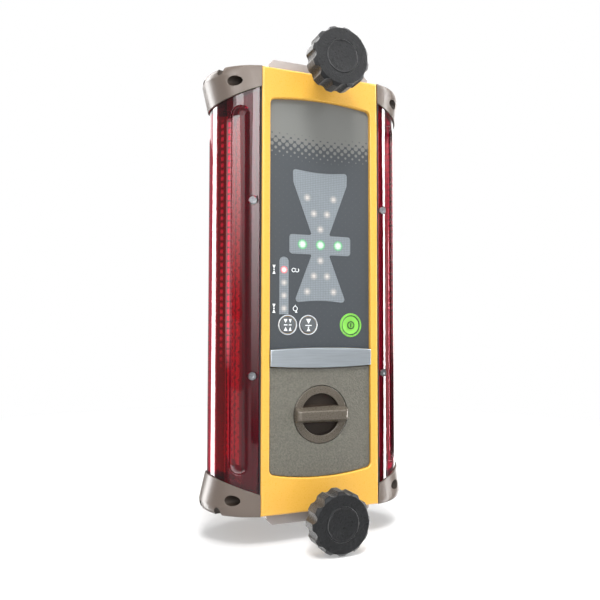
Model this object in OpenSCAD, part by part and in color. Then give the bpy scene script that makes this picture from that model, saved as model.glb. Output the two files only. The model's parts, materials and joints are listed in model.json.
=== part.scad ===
// Laser receiver for a machine mast, with two clamp knobs, two sensor windows and a battery cassette.
// Millimetres, +Z up, front towards -Y. The origin lies on the mast axis at half height.

/* [Housing] */
// Width of the body between the side windows
housing_w = 95; // [91:1:103]
// Height of the body from end to end
housing_h = 326; // [316:1:346]
// Depth of the body from front face to rear face
housing_d = 75; // [74:0.5:80]
// Thickness of the side walls and the rear wall
wall = 3.5; // [2.5:0.25:4]
// Thickness of the two end walls
end_wall = 4; // [3:0.5:6]
// Radius on the outer front and rear edges
edge_r = 2; // [1:0.25:3]
// Thickness of the seal between the two covers
seal_t = 1; // [0.6:0.1:1.6]

/* [Front face] */
// Yellow border at each side of the recess that frames the display and the battery door
side_border = 6.6; // [5.6:0.2:8]
// Yellow border above the recess, at its middle
top_border = 20.4; // [16:0.2:26]
// Yellow border below the recess, at its middle
low_border = 24.5; // [22:0.5:27]
// Rise of the curved top edge of the recess
top_rise = 3.2; // [1:0.1:5]
// Drop of the curved bottom edge of the recess
low_rise = 4.4; // [1:0.1:6]
// Depth of the display surface behind the front face
display_depth = 2.8; // [1.5:0.1:4]
// Thickness of the display panel
panel_t = 1.6; // [1:0.1:2.4]
// Thickness of the cover wall behind the display panel
panel_wall = 3; // [2:0.25:4]
// Height of the bare name bar at its middle
bar_h = 15; // [11:0.5:17]
// Swell of the upper and lower edges of the name bar
bar_rise = 1.4; // [0.5:0.1:2]
// How far the name bar stands proud of the front face
bar_proud = 1; // [0.2:0.1:2]
// Height of the name bar's middle above the lower end
bar_height = 112.1; // [110:0.5:116]

/* [Lights and keys] */
// Height of the arrow's cross bar above the name bar
arrow_rise = 84.3; // [83:0.1:90]
// Length of the arrow from the middle of its cross bar to its upper end
arrow_half = 56.4; // [52:0.2:60]
// Half width of the arrow's upper end
arrow_end = 22.4; // [18:0.2:24]
// Length of the straight sides at the arrow's upper end
arrow_shoulder = 10; // [6:0.5:14]
// Half width of the arrow's neck
arrow_neck = 7; // [6:0.2:10]
// Hollow of the arrow's two ends
arrow_hollow = 1.8; // [0.5:0.1:3]
// Radius of the arrow's corners
arrow_corner = 2.4; // [1:0.2:3.5]
// Length of the arrow's cross bar
arrow_bar_w = 50; // [46:0.5:51]
// Height of the arrow's cross bar
arrow_bar_h = 14.5; // [12:0.5:17]
// Distance of the level strip's middle from the side of the recess
strip_side = 11.7; // [11:0.1:12.4]
// Width of the level strip
strip_w = 7.3; // [6:0.1:8]
// Diameter of each light
light_d = 4.8; // [3:0.2:5]
// Distance between rows of arrow lights
light_row = 11.75; // [9:0.25:13]
// Spread of the arrow lights from one row to the next
light_spread = 5.4; // [4:0.1:6]
// Spacing of the three middle lights
light_gap = 14.6; // [10:0.2:18]
// Distance between the lights of the level strip
level_pitch = 9.5; // [7:0.1:10]
// Height of the keys above the name bar
key_rise = 24.2; // [21:0.2:26]
// Diameter of the two small keys
key_d = 12; // [9:0.2:13]
// Diameter of the power key
power_d = 16.2; // [12:0.2:17]
// Width of the ring round each key
ring_w = 0.9; // [0.6:0.1:1.2]
// Distance of the outer small key from the side of the recess
key_side = 14.6; // [13.9:0.1:15.3]
// Distance between the two small keys
key_pitch = 16.4; // [15.4:0.1:18]
// Distance of the power key from the side of the recess
power_side = 15.8; // [14.9:0.1:17.9]
// Travel of each key
key_travel = 0.8; // [0.4:0.1:1]

/* [Side windows] */
// Outer radius of the half round side windows
window_r = 35.2; // [34:0.2:37]
// Thickness of the window wall
window_t = 5; // [4.4:0.2:6]
// Distance from the side face of the body back to the window's axis
window_inset = 6; // [3:0.5:8]
// Thickness of the gasket strip between window and body
gasket_t = 1; // [0.6:0.1:1.6]
// Direction of the long recess, measured round from the front
recess_angle = 36; // [35:0.5:42]
// Width of the long recess at its rim
recess_w = 14.5; // [13:0.5:15]
// Width of the recess's flat floor, set towards the outer side
recess_floor_w = 10; // [8:0.5:11]
// Length of the slope at each end of the recess
recess_ramp = 6; // [3:0.5:8]
// Distance of the recess's ends from the edge of the caps
recess_end = 14.4; // [11:0.2:30]
// Distance of the recess floor from the outside of the window
recess_depth = 2.7; // [1.6:0.1:3]
// Direction of the thin line along the window's front edge
line_angle = 18; // [16:0.5:19]
// Distance of the window screws from the middle plane of the window's length
window_screw_z = 63.5; // [40:0.5:100]
// Distance of the window screws from the side face of the body
window_screw_x = 5.8; // [5.2:0.1:6.2]

/* [End caps] */
// Height of a cap where it meets the body
cap_inner_h = 15.6; // [15:0.2:19]
// How fast the cap grows taller towards its outer side
cap_slope = 0.353; // [0.25:0.01:0.42]
// How far the cap's swell stands out beyond the window
cap_swell = 5.3; // [3:0.1:7]
// Distance of the swell from the end of the cap
cap_swell_z = 6.5; // [4:0.25:9]
// Overlap of the cap over the end of the window
cap_overlap = 3; // [2:0.25:3.4]
// Diameter of the notches in the cap's end
notch_d = 6; // [4:0.2:7]
// Lean of the notches away from upright
notch_lean = 50; // [46:1:60]
// Diameter of the screw wells in the cap
well_d = 7.2; // [6.4:0.2:8]
// Distance of the screw wells from the end of the cap
well_z = 11.5; // [10.5:0.25:12]
// Distance of the front screw wells from the front face
well_y = 8.3; // [7:0.1:11]
// Distance of the rear screw wells from the rear face
well_rear = 12.9; // [12.5:0.1:15]

/* [Mast clamp] */
// Diameter of the mast
mast_d = 50; // [44:1:54]
// Free space between the rear face and the mast
mast_gap = 9; // [7:0.5:12]
// Thickness of the rubber pads on saddle and hook
pad_t = 2; // [1:0.25:3]
// Thickness of the clamp hook along the mast
hook_t = 12; // [9:0.5:13]
// Width of the metal of the hook
hook_w = 10; // [8:0.5:12]
// Angle that the hook reaches round the mast
hook_wrap = 115; // [95:1:130]
// Travel of the hook from clamped to open
hook_travel = 10; // [6:0.5:10]
// Thickness of the base plate of the bracket
base_t = 8; // [6:0.5:10]
// Thickness of the bracket's front ear
ear_t = 7; // [5:0.5:9]
// How far the front ear stands out beyond the end of the body
ear_proud = 7.9; // [6:0.1:10]
// Diameter of the clamp stud
stud_d = 8; // [6:0.5:8.5]
// Distance of the stud's axis beyond the end of the body
stud_lift = 0.4; // [0:0.1:1]

/* [Clamp knob] */
// Diameter of the knob over its lobes
knob_d = 44; // [38:0.5:45]
// Thickness of the lobed rim
knob_t = 15; // [11:0.5:17]
// Distance of the knob's face from the front face of the body
knob_reach = 35.6; // [32:0.2:40]
// Number of lobes
knob_lobes = 12; // [8:1:16]
// Diameter of the disc set into the knob's face
disc_d = 24.4; // [18:0.2:28]
// Diameter of the neck behind the knob
neck_d = 14; // [12:0.5:14.5]

/* [Battery cassette] */
// Depth of the door's surface behind the front face
door_depth = 1.7; // [1:0.1:2.5]
// Thickness of the door
door_t = 4; // [3:0.25:4.5]
// Thickness of the door's seal
door_seal_t = 1; // [0.6:0.1:1.4]
// Distance of the lock's axis below the name bar
lock_drop = 34.6; // [34.2:0.2:36]
// Ledge behind the door at each side of the cassette opening
bay_ledge = 4.8; // [4.6:0.1:5.6]
// Diameter of the lock knob
lock_d = 42.6; // [38:0.2:44]
// Diameter of the dish in the lock knob
dish_d = 31; // [26:0.5:34]
// How far the lock's handle stands out of the door
handle_out = 6.2; // [4:0.2:8]
// Thickness of the lock's handle
handle_t = 6.6; // [5:0.2:8]
// How far each side of the handle flares out towards its foot
handle_flare = 4; // [1:0.5:6]
// Overlap of the turned latch tongue behind the ledge
tongue_catch = 4; // [3.9:0.1:5]
// Diameter of one battery cell
cell_d = 26.2; // [24:0.1:26.4]
// Length of one battery cell
cell_len = 49.8; // [46:0.2:50]

/* [Hidden] */
$fn = 96;

// General clearances
run_gap = 0.05;
fit_gap = 0.1;
slide_gap = 0.4;
part_gap = 0.35;
over = 1;

// Main places
half_w = housing_w / 2;
top = housing_h / 2;
bottom = -top;
mast_r = mast_d / 2;
mast_y = housing_d + mast_gap + mast_r;
front_y = -mast_y;
split_y = housing_d / 2 - seal_t / 2;
inner_w = half_w - wall;
stud_z = top + stud_lift;
tray_depth = base_t + slide_gap + hook_t / 2 - stud_lift;
tray_z = top - tray_depth;
cavity_z = tray_z - end_wall;

// Front face
pocket_w = housing_w - 2 * side_border;
panel_back = display_depth + panel_t;
front_t = panel_back + panel_wall;
pocket_top = top - top_border;
pocket_low = bottom + low_border;
pocket_corner = 4.5;
bar_z = bottom + bar_height;
bar_half = bar_h / 2;
ear_y = 5.2;

// Lights and keys
arrow_z = bar_z + arrow_rise;
arrow_clear = 4.25;
key_clear = 7.4;
strip_gap = 2.7;
strip_x = pocket_w / 2 - strip_side;
key_outer_x = pocket_w / 2 - key_side;
key_inner_x = key_outer_x - key_pitch;
power_x = pocket_w / 2 - power_side;
arrow_low_end = strip_x - strip_w / 2 - arrow_clear;
arrow_low_half = arrow_rise - key_rise - power_d / 2 - ring_w - key_clear;
key_z = bar_z + key_rise;
strip_top = arrow_z - arrow_bar_h / 2 - strip_gap;
strip_low = key_z + key_d / 2 + ring_w + 1;
lens_flange = 1.2;
lens_t = 2;
board_y = front_t + 5.6;
board_t = 1.6;
board_side = 9.5;
board_drop = 17.8;
board_half_w = inner_w - board_side;
board_low = bar_z + bar_half - 0.6;
board_top = pocket_top - board_drop;
board_post_r = 3;
board_post_x = board_half_w - board_post_r - 0.5;
board_screw_r = 1.25;
board_head_r = 2.4;
board_head_t = 1.8;
level_drop = 9.6;
level_first = strip_top - level_drop;
level_count = floor((level_first - strip_low - light_d / 2) / level_pitch) + 1;
ring_proud = 0.4;
key_proud = 0.5;
flange_gap = 0.3;
key_flange_t = 1;
key_flange = 1;
stem_r = 2.5;
switch_w = 6;
switch_t = 1.6;
plunger_r = 1.5;

// Side windows, measured from the middle plane and the front face
window_x = half_w - window_inset;
window_in_r = window_r - window_t;
cap_edge_z = top - cap_inner_h;
window_end_z = cap_edge_z + cap_overlap;
recess_len = 2 * (cap_edge_z - recess_end);
recess_rim = window_r - sqrt(pow(window_r, 2) - pow(recess_w / 2, 2));
line_w = 0.9;
line_d = 0.6;
far_x = window_x + window_r + cap_swell + 4;
screw_x = half_w + window_screw_x;
screw_head_r = 2.8;
screw_shaft_r = 1.6;
screw_dx = screw_x - window_x;
screw_seat_y = window_r - sqrt(pow(window_r, 2) - pow(screw_dx, 2)) + 2.2;
rail_w = 10.5;
web_t = 3;
rail_inner_y = 12;
frame_z = window_end_z - (rail_w * cap_slope) - 1.5;
sensor_x = half_w + 8;
sensor_t = 1.6;
sensor_z = frame_z - 5;
diode_pitch = 10.4;
diode_margin = 7.5;
diode_count = floor(2 * (sensor_z - diode_margin) / diode_pitch);
diode_size = [1.5, 7, 8.6];
diode_off = 11;
flex_w = 16;
flex_t = 0.4;
flex_drop = 12;
flex_z = arrow_z - flex_drop;

// End caps
well_in = 5.5;
well_floor = half_w + well_in;
well_places = [well_y, housing_d - well_rear];
cap_screw_r = 1.7;
cap_head_r = 2.9;
cap_head_t = 2.6;
notch_angles = [58, 91, 124];

// Clamp
stud_r = stud_d / 2;
neck_r = neck_d / 2;
knob_r = knob_d / 2;
knob_face_y = -knob_reach;
knob_back_y = knob_face_y + knob_t;
washer_t = 2;
washer_r = neck_r + 0.5;
neck_end_y = ear_y - washer_t;
disc_t = 2.4;
stud_tip_y = knob_face_y + 4.1;
ear_side = 2.3;
ear_corner = 4.7;
ear_foot_w = inner_w - ear_side;
ear_top_w = ear_foot_w - ear_corner;
rear_ear_t = 8;
rear_ear_w = 24;
hook_base_t = 12;
hook_y = housing_d + mast_gap - hook_travel - hook_base_t - 2;
rear_ear_y = hook_y - 6 - rear_ear_t;
saddle_r = mast_r + pad_t;
saddle_edge = 10;
saddle_wall = 7;
saddle_corner = 4;
saddle_edge_y = mast_y - saddle_edge;
saddle_half_w = saddle_r + saddle_wall;
base_side = 4;
base_half_w = inner_w - base_side;
bracket_screw_in = 10;
bracket_screw_front = 11;
bracket_screw_rear = 17;
bracket_screw_x = base_half_w - bracket_screw_in;
bracket_screw_y = [split_y - bracket_screw_front, housing_d - bracket_screw_rear];
bracket_screw_r = 2.4;
bracket_head_r = 4;
bracket_head_t = 4;
bracket_boss_h = 8;

// Covers
cover_screw_x = inner_w - 3.5;
cover_boss_r = 4;
cover_screw_r = 1.7;
cover_head_r = 3.2;
cover_screw_z = [cavity_z - 6, bar_z + 4, -(cavity_z - 6)];

// Battery cassette
lock_z = bar_z - bar_half - lock_drop;
door_back = door_depth + door_t;
door_floor = door_back + door_seal_t;
lip_t = 2.5;
lip_back = door_floor + lip_t;
lock_r = lock_d / 2;
dish_r = dish_d / 2;
lock_gap = 0.4;
lock_body_t = 5;
lock_back = door_depth + 0.1 + lock_body_t;
boss_wall = 1.2;
boss_r = lock_r + lock_gap + boss_wall;
tongue_gap = 1;
door_land = 3.5;
bay_w = pocket_w - 2 * bay_ledge;
bay_h = min(2 * (lock_drop - door_land), bay_w - 2 * (tongue_gap + tongue_catch));
tongue_len = bay_h + 2 * tongue_catch;
tongue_t = 2;
tongue_w = 8;
tongue_y = lip_back + 0.3;
boss_back = tongue_y - 0.2;
shaft_r = 4;
lock_screw_r = 1.5;
lock_head_r = 3.2;
lock_head_t = 1.8;
bay_wall = 2;
bay_half_w = bay_w / 2 + 1;
bay_half_h = tongue_len / 2 + 2;
tray_y = tongue_y + tongue_t + lock_head_t + 0.7;
tray_plate = 2;
tray_wall = 1.5;
tray_rim = 2.5;
tray_fit = 0.5;
cell_r = cell_d / 2;
cell_gap = 0.2;
cell_land = 0.6;
cell_pitch = cell_d + 2 * cell_gap + cell_land;
cell_rows = floor((bay_h - 2 * tray_fit - 2 * tray_rim + cell_land) / cell_pitch);
spring_t = 1.2;
spring_r = 6;
nub_r = 3.3;
nub_t = 1.5;
tray_half_w = cell_len / 2 + spring_t + tray_wall;
tray_half_h = (cell_rows * cell_pitch - cell_land) / 2 + tray_rim;
cell_y = tray_y + tray_plate + cell_gap + cell_r;
tray_back = cell_y + cell_r;
leaf_t = 2;
leaf_w = 6;
leaf_h = 14;
bay_rear = tray_back + leaf_t + fit_gap;
post_r = 2;
post_x = tray_half_w - post_r;
post_z = tray_half_h - post_r;
rib_w = 4;
seal_w = 2;
seal_gap = 0.5;

// Radius of an arc with the given half chord and rise
function arc_radius(half, rise) = (half * half + rise * rise) / (2 * rise);

top_arc_r = arc_radius(pocket_w / 2, top_rise);
low_arc_r = arc_radius(pocket_w / 2, low_rise);
bar_arc_r = arc_radius(pocket_w / 2, bar_rise);

// Depths are measured back from the front face
module place() translate([0, front_y, 0]) children();

// Keeps the shape for the right or upper side, mirrors it for the left or lower side
module side(s) mirror([s < 0 ? 1 : 0, 0, 0]) children();
module end(s) mirror([0, 0, s < 0 ? 1 : 0]) children();

// Extrudes an outline drawn in X and Z over a stretch of depth
module slab(y0, y1) translate([0, y1, 0]) rotate([90, 0, 0]) linear_extrude(y1 - y0) children();

// Round rods along each axis
module rod_x(r, x0, x1, y, z) translate([x0, y, z]) rotate([0, 90, 0]) cylinder(r = r, h = x1 - x0);
module rod_y(r, y0, y1, x, z) translate([x, y0, z]) rotate([-90, 0, 0]) cylinder(r = r, h = y1 - y0);
module rod_z(r, z0, z1, x, y) translate([x, y, z0]) cylinder(r = r, h = z1 - z0);

// Block between two corners
module block(low, high) translate(low) cube(high - low);

module rounded_rect(w, h, r) {
    square([w - 2 * r, h], center = true);
    square([w, h - 2 * r], center = true);
    for (x = [-1, 1], y = [-1, 1])
        translate([x * (w / 2 - r), y * (h / 2 - r)]) circle(r);
}

// Rectangle whose two corners on the near side are round
module front_rounded(w, d, r) {
    translate([-w / 2, r]) square([w, d - r]);
    translate([-w / 2 + r, 0]) square([w - 2 * r, d]);
    for (x = [-1, 1]) translate([x * (w / 2 - r), r]) circle(r);
}

// Half of the body with round front edges
module half_shell(depth) intersection() {
    linear_extrude(housing_h, center = true) front_rounded(housing_w, depth, edge_r);
    rotate([0, -90, 0])
        linear_extrude(housing_w, center = true) front_rounded(housing_h, depth, edge_r);
}

// Space at both ends of the body for the clamp brackets
module tray_space(y0, y1) for (s = [-1, 1]) end(s)
    block([-inner_w, y0, tray_z], [inner_w, y1, top + over]);

// Outlines of the front face
module pocket_2d(g) offset(r = pocket_corner - g) offset(delta = -pocket_corner) intersection() {
    translate([0, (pocket_top + pocket_low) / 2])
        square([pocket_w, pocket_top - pocket_low], center = true);
    translate([0, pocket_top - top_arc_r]) circle(top_arc_r, $fn = 360);
    translate([0, pocket_low + low_arc_r]) circle(low_arc_r, $fn = 360);
}
module below_bar_top(g) translate([0, bar_z + bar_half - bar_arc_r]) circle(bar_arc_r + g, $fn = 360);
module above_bar_low(g) translate([0, bar_z - bar_half + bar_arc_r]) circle(bar_arc_r + g, $fn = 360);
module bar_2d(g) intersection() {
    square([pocket_w - 2 * g, housing_h], center = true);
    below_bar_top(-g);
    above_bar_low(-g);
}
module panel_2d(g) difference() {
    pocket_2d(g);
    below_bar_top(g);
}
module door_2d(g) difference() {
    pocket_2d(g);
    above_bar_low(g);
}

// Outline of one half of the arrow, from the cross bar to a hollow end
module arrow_half_2d(points, half, last) difference() {
    polygon(concat(points, [for (i = [len(points) - 1 : -1 : 0]) [-points[i][0], points[i][1]]]));
    translate([0, half - arrow_hollow + arc_radius(last, arrow_hollow)])
        circle(arc_radius(last, arrow_hollow), $fn = 240);
}

// Double arrow with a cross bar and round corners, and the level strip beside it, grown by g
module arrow_2d(g) translate([0, arrow_z])
    offset(r = arrow_corner + g, $fn = 40) offset(delta = -arrow_corner)
        offset(r = -arrow_corner / 2, $fn = 24) offset(delta = arrow_corner / 2) {
            arrow_half_2d([[arrow_neck, 0], [arrow_neck, arrow_bar_h / 2],
                [arrow_end - 0.4, arrow_half - arrow_shoulder], [arrow_end, arrow_half]],
                arrow_half, arrow_end);
            mirror([0, 1]) arrow_half_2d([[arrow_neck, 0], [arrow_neck, arrow_bar_h / 2],
                [arrow_low_end, arrow_low_half]], arrow_low_half, arrow_low_end);
            square([arrow_bar_w, arrow_bar_h], center = true);
        }
module strip_2d(g) {
    w = strip_w + 2 * g;
    translate([-strip_x, strip_top - strip_w / 2]) circle(w / 2);
    translate([-strip_x - w / 2, strip_low - g]) square([w, strip_top - strip_w / 2 - strip_low + g]);
}

// Places of the lights and keys
arrow_places = [for (i = [1 : 3], s = [-1, 1], m = i > 1 ? [-1, 1] : [0])
    [m * light_spread * (i - 1), arrow_z + s * light_row * i]];
centre_places = [for (m = [-1, 0, 1]) [m * light_gap, arrow_z]];
level_places = [for (i = [0 : level_count - 1]) [-strip_x, level_first - level_pitch * i]];
key_places = [[-key_outer_x, key_d / 2], [-key_inner_x, key_d / 2], [power_x, power_d / 2]];

// Yellow front half of the body
module front_cover() color("#f6c14b") place() difference() {
    union() {
        difference() {
            half_shell(split_y);
            block([-inner_w, front_t, -cavity_z], [inner_w, split_y + over, cavity_z]);
            tray_space(ear_y, split_y + over);
        }
        slab(front_t - over, lip_back) translate([0, lock_z])
            square([2 * (bay_half_w + bay_wall), 2 * (bay_half_h + bay_wall)], center = true);
        for (s = [-1, 1], z = cover_screw_z)
            rod_y(cover_boss_r, front_t - over, split_y, s * cover_screw_x, z);
        for (s = [-1, 1], z = [board_low + board_post_r + 1, board_top - board_post_r - 1])
            rod_y(board_post_r, front_t - over, board_y, s * board_post_x, z);
        for (s = [-1, 1], e = [-1, 1]) end(e)
            rod_z(5, cavity_z - bracket_boss_h, cavity_z + over, s * bracket_screw_x, bracket_screw_y[0]);
    }
    slab(-over, panel_back) pocket_2d(0);
    slab(-over, door_floor) door_2d(0);
    slab(-over, lip_back + over) translate([0, lock_z]) square([bay_w, bay_h], center = true);
    slab(panel_back - over, front_t + over) arrow_2d(lens_flange + fit_gap);
    slab(panel_back - over, front_t + over) strip_2d(lens_flange + fit_gap);
    for (p = key_places) rod_y(p[1] + fit_gap, 0, front_t + over, p[0], key_z);
    for (e = [-1, 1]) end(e) rod_y(washer_r + 0.5, -over, ear_y + over, 0, stud_z);
    for (s = [-1, 1], z = cover_screw_z)
        rod_y(cover_screw_r + run_gap, front_t + 6, split_y + over, s * cover_screw_x, z);
    for (s = [-1, 1], z = [board_low + board_post_r + 1, board_top - board_post_r - 1])
        rod_y(board_screw_r + run_gap, front_t, board_y + over, s * board_post_x, z);
    for (s = [-1, 1], e = [-1, 1]) end(e) {
        rod_z(bracket_screw_r + run_gap, cavity_z - bracket_boss_h - over, tray_z + over,
            s * bracket_screw_x, bracket_screw_y[0]);
        side(s) rod_x(cap_screw_r + run_gap, inner_w - over, half_w + over, well_places[0], top - well_z);
        side(s) block([inner_w - over, board_y + board_t - fit_gap, flex_z - flex_w / 2 - fit_gap],
            [half_w + over, board_y + board_t + flex_t + fit_gap, flex_z + flex_w / 2 + fit_gap]);
    }
}

// Rear half of the body, open at both ends for the clamp brackets
module rear_cover() color("#f6c14b") place() {
    rear_start = split_y + seal_t;
    difference() {
        union() {
            difference() {
                intersection() {
                    translate([0, housing_d, 0]) mirror([0, 1, 0]) half_shell(housing_d - rear_start);
                    block([-half_w, rear_start, bottom], [half_w, housing_d, top]);
                }
                block([-inner_w, rear_start - over, -cavity_z], [inner_w, housing_d - wall, cavity_z]);
                tray_space(rear_start - over, housing_d + over);
            }
            for (s = [-1, 1], z = cover_screw_z)
                rod_y(cover_boss_r, rear_start, housing_d - wall + over, s * cover_screw_x, z);
            for (s = [-1, 1], e = [-1, 1]) end(e)
                rod_z(5, cavity_z - bracket_boss_h, cavity_z + over, s * bracket_screw_x, bracket_screw_y[1]);
        }
        for (s = [-1, 1], z = cover_screw_z) {
            rod_y(cover_screw_r + 0.3, rear_start - over, housing_d + over, s * cover_screw_x, z);
            rod_y(cover_head_r + 0.3, housing_d - 3, housing_d + over, s * cover_screw_x, z);
        }
        for (s = [-1, 1], e = [-1, 1]) end(e) {
            rod_z(bracket_screw_r + run_gap, cavity_z - bracket_boss_h - over, tray_z + over,
                s * bracket_screw_x, bracket_screw_y[1]);
            side(s)
                rod_x(cap_screw_r + run_gap, inner_w - over, half_w + over, well_places[1], top - well_z);
        }
    }
}

// Flat seal that follows the walls where the two covers meet
module cover_seal() color("#2a2a2a") place() difference() {
    block([-half_w, split_y, bottom], [half_w, split_y + seal_t, top]);
    block([-inner_w, split_y - over, -cavity_z], [inner_w, split_y + seal_t + over, cavity_z]);
    tray_space(split_y - over, split_y + seal_t + over);
}

module cover_screws() color("silver") place() for (s = [-1, 1], z = cover_screw_z) difference() {
    union() {
        rod_y(cover_screw_r, front_t + 7, housing_d - 2, s * cover_screw_x, z);
        rod_y(cover_head_r, housing_d - 3, housing_d - 0.6, s * cover_screw_x, z);
    }
    translate([s * cover_screw_x, housing_d - 1.8, z]) rotate([-90, 0, 0]) cylinder(r = 1.5, h = 3, $fn = 6);
}

// Grey panel with cut outs for the arrow, the strip and the keys
module display_panel() color("#5c6166") place() difference() {
    slab(display_depth, panel_back) panel_2d(fit_gap);
    slab(0, panel_back + over) arrow_2d(fit_gap);
    slab(0, panel_back + over) strip_2d(fit_gap);
    for (p = key_places) rod_y(p[1] + fit_gap + ring_w + run_gap, 0, panel_back + over, p[0], key_z);
}

module arrow_lens() color("#b9c0c8") place() {
    slab(display_depth, panel_back) arrow_2d(0);
    slab(panel_back, panel_back + lens_t) arrow_2d(lens_flange);
}

module level_lens() color("#a9b0b8") place() {
    slab(display_depth, panel_back) strip_2d(0);
    slab(panel_back, panel_back + lens_t) strip_2d(lens_flange);
}

module name_bar() color("#b4bcc4") place() slab(-bar_proud, panel_back) bar_2d(fit_gap);

module key_rings() color("#d0d4d8") place() for (p = key_places) difference() {
    rod_y(p[1] + fit_gap + ring_w, display_depth - ring_proud, panel_back, p[0], key_z);
    rod_y(p[1] + fit_gap, 0, panel_back + over, p[0], key_z);
}

// Key with a flange behind the cover wall and a stem towards its switch
module key(p) place() {
    flange_y = front_t + flange_gap;
    rod_y(p[1], display_depth - key_proud, flange_y + key_flange_t / 2, p[0], key_z);
    rod_y(p[1] + key_flange, flange_y, flange_y + key_flange_t, p[0], key_z);
    rod_y(stem_r, flange_y, board_y - switch_t - key_travel - 1, p[0], key_z);
}
module scale_key() color("#54585c") key(key_places[0]);
module zero_key() color("#54585c") key(key_places[1]);
module power_key() color("#86e05a") key(key_places[2]);

module main_board() color("darkgreen") place() difference() {
    block([-board_half_w, board_y, board_low], [board_half_w, board_y + board_t, board_top]);
    for (s = [-1, 1], z = [board_low + board_post_r + 1, board_top - board_post_r - 1])
        rod_y(board_screw_r + fit_gap, board_y - over, board_y + board_t + over, s * board_post_x, z);
}

module board_screws() color("silver") place()
    for (s = [-1, 1], z = [board_low + board_post_r + 1, board_top - board_post_r - 1]) {
        rod_y(board_screw_r, front_t + 0.6, board_y + board_t + 0.5, s * board_post_x, z);
        rod_y(board_head_r, board_y + board_t, board_y + board_t + board_head_t, s * board_post_x, z);
    }

// Lights stand on the board with their domes just behind the lenses
module lights(places) place() for (p = places) {
    dome_y = panel_back + lens_t + fit_gap + light_d / 2;
    rod_y(light_d / 2, dome_y, board_y, p[0], p[1]);
    intersection() {
        translate([p[0], dome_y, p[1]]) sphere(d = light_d);
        rod_y(light_d / 2, 0, dome_y + light_d / 4, p[0], p[1]);
    }
}
module arrow_lights() color("#efe3d2") lights(arrow_places);
module centre_lights() color("#6fdc8c") lights(centre_places);
module level_lights() color("#e85a5a") lights(level_places);

module key_switches() color("#303030") place() for (p = key_places) {
    block([p[0] - switch_w / 2, board_y - switch_t, key_z - switch_w / 2],
        [p[0] + switch_w / 2, board_y, key_z + switch_w / 2]);
    rod_y(plunger_r, board_y - switch_t - 0.8, board_y - switch_t / 2, p[0], key_z);
}

// Outline of a side window seen from the front, with slanted ends a given distance from the cap's edge
module window_side_2d(x0, extra) {
    z0 = cap_edge_z + extra - (x0 - half_w) * cap_slope;
    z1 = cap_edge_z + extra - (far_x - half_w) * cap_slope;
    polygon([[x0, -z0], [x0, z0], [far_x, z1], [far_x, -z1]]);
}

// Long recess with a flat floor, sloped at its front side and its ends
module recess_form() {
    half = recess_w / 2;
    half_len = recess_len / 2;
    high = -window_r - over;
    rim = -window_r + recess_rim;
    low = -window_r + recess_depth;
    intersection() {
        slab(high, low) rounded_rect(recess_w, recess_len, half - 0.5);
        linear_extrude(recess_len, center = true)
            polygon([[-half, high], [half, high], [half, low], [half - recess_floor_w, low], [-half, rim]]);
        rotate([90, 0, 90]) linear_extrude(recess_w, center = true) polygon([[high, -half_len], [high, half_len],
            [rim, half_len], [low, half_len - recess_ramp], [low, recess_ramp - half_len], [rim, -half_len]]);
    }
}

// Half round window with the long recess on its front quarter
module window(s) color([0.6, 0.03, 0.12]) place() side(s) difference() {
    intersection() {
        translate([window_x, window_r, 0]) linear_extrude(housing_h, center = true) difference() {
            circle(window_r);
            circle(window_in_r);
        }
        slab(-over, 2 * window_r + over) window_side_2d(half_w + gasket_t, cap_overlap);
    }
    translate([window_x, window_r, 0]) rotate([0, 0, recess_angle]) recess_form();
    translate([window_x, window_r, 0]) rotate([0, 0, line_angle])
        slab(-window_r - over, -window_r + line_d) square([line_w, 2 * top], center = true);
    for (z = [-1, 1] * window_screw_z, b = [0, 1])
        translate([0, b * window_r, 0]) mirror([0, b, 0]) translate([0, -b * window_r, 0]) {
            rod_y(screw_head_r + 0.4, -over, screw_seat_y, screw_x, z);
            rod_y(screw_shaft_r + fit_gap, -over, rail_inner_y + over, screw_x, z);
        }
}
module window_left() window(-1);
module window_right() window(1);

// Strips between the window edges and the side faces of the body
module window_gaskets() color("#1d1d20") place() for (s = [-1, 1]) side(s) intersection() {
    translate([window_x, window_r, 0]) linear_extrude(2 * (window_end_z - 1), center = true) difference() {
        circle(window_r - 0.3);
        circle(window_in_r);
    }
    block([half_w, 0, bottom], [half_w + gasket_t, 2 * window_r, top]);
}

module window_screws() color("#d8d8dc") place() for (s = [-1, 1], z = [-1, 1] * window_screw_z, b = [0, 1])
    side(s) translate([0, b * window_r, 0]) mirror([0, b, 0]) translate([0, -b * window_r, 0]) difference() {
        union() {
            rod_y(screw_head_r, screw_seat_y - 1.8, screw_seat_y, screw_x, z);
            rod_y(screw_shaft_r, screw_seat_y - 1, rail_inner_y + 1.6, screw_x, z);
        }
        translate([screw_x, screw_seat_y - 2, z]) rotate([-90, 0, 0]) cylinder(r = 1.4, h = 1.2, $fn = 6);
    }

// Channel on the side of the body that carries the sensor board and takes the window screws
module sensor_frame(s) color("#26262a") place() side(s) difference() {
    intersection() {
        rod_z(window_in_r - fit_gap, -frame_z, frame_z, window_x, window_r);
        block([half_w, 0, -frame_z], [half_w + rail_w, 2 * window_r, frame_z]);
    }
    block([half_w + web_t, rail_inner_y, -frame_z - over],
        [half_w + rail_w + over, 2 * window_r - rail_inner_y, frame_z + over]);
    block([half_w - over, 0, -frame_z - over],
        [half_w + gasket_t + fit_gap, rail_inner_y - 2, frame_z + over]);
    block([half_w - over, 2 * window_r - rail_inner_y + 2, -frame_z - over],
        [half_w + gasket_t + fit_gap, 2 * window_r, frame_z + over]);
    for (z = [-1, 1] * window_screw_z, y = [0, 2 * window_r - rail_inner_y - 2])
        rod_y(screw_shaft_r + run_gap, y, y + rail_inner_y + 2, screw_x, z);
    block([half_w - over, board_y + board_t - fit_gap, flex_z - flex_w / 2 - fit_gap],
        [half_w + web_t + over, board_y + board_t + flex_t + fit_gap, flex_z + flex_w / 2 + fit_gap]);
}
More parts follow.
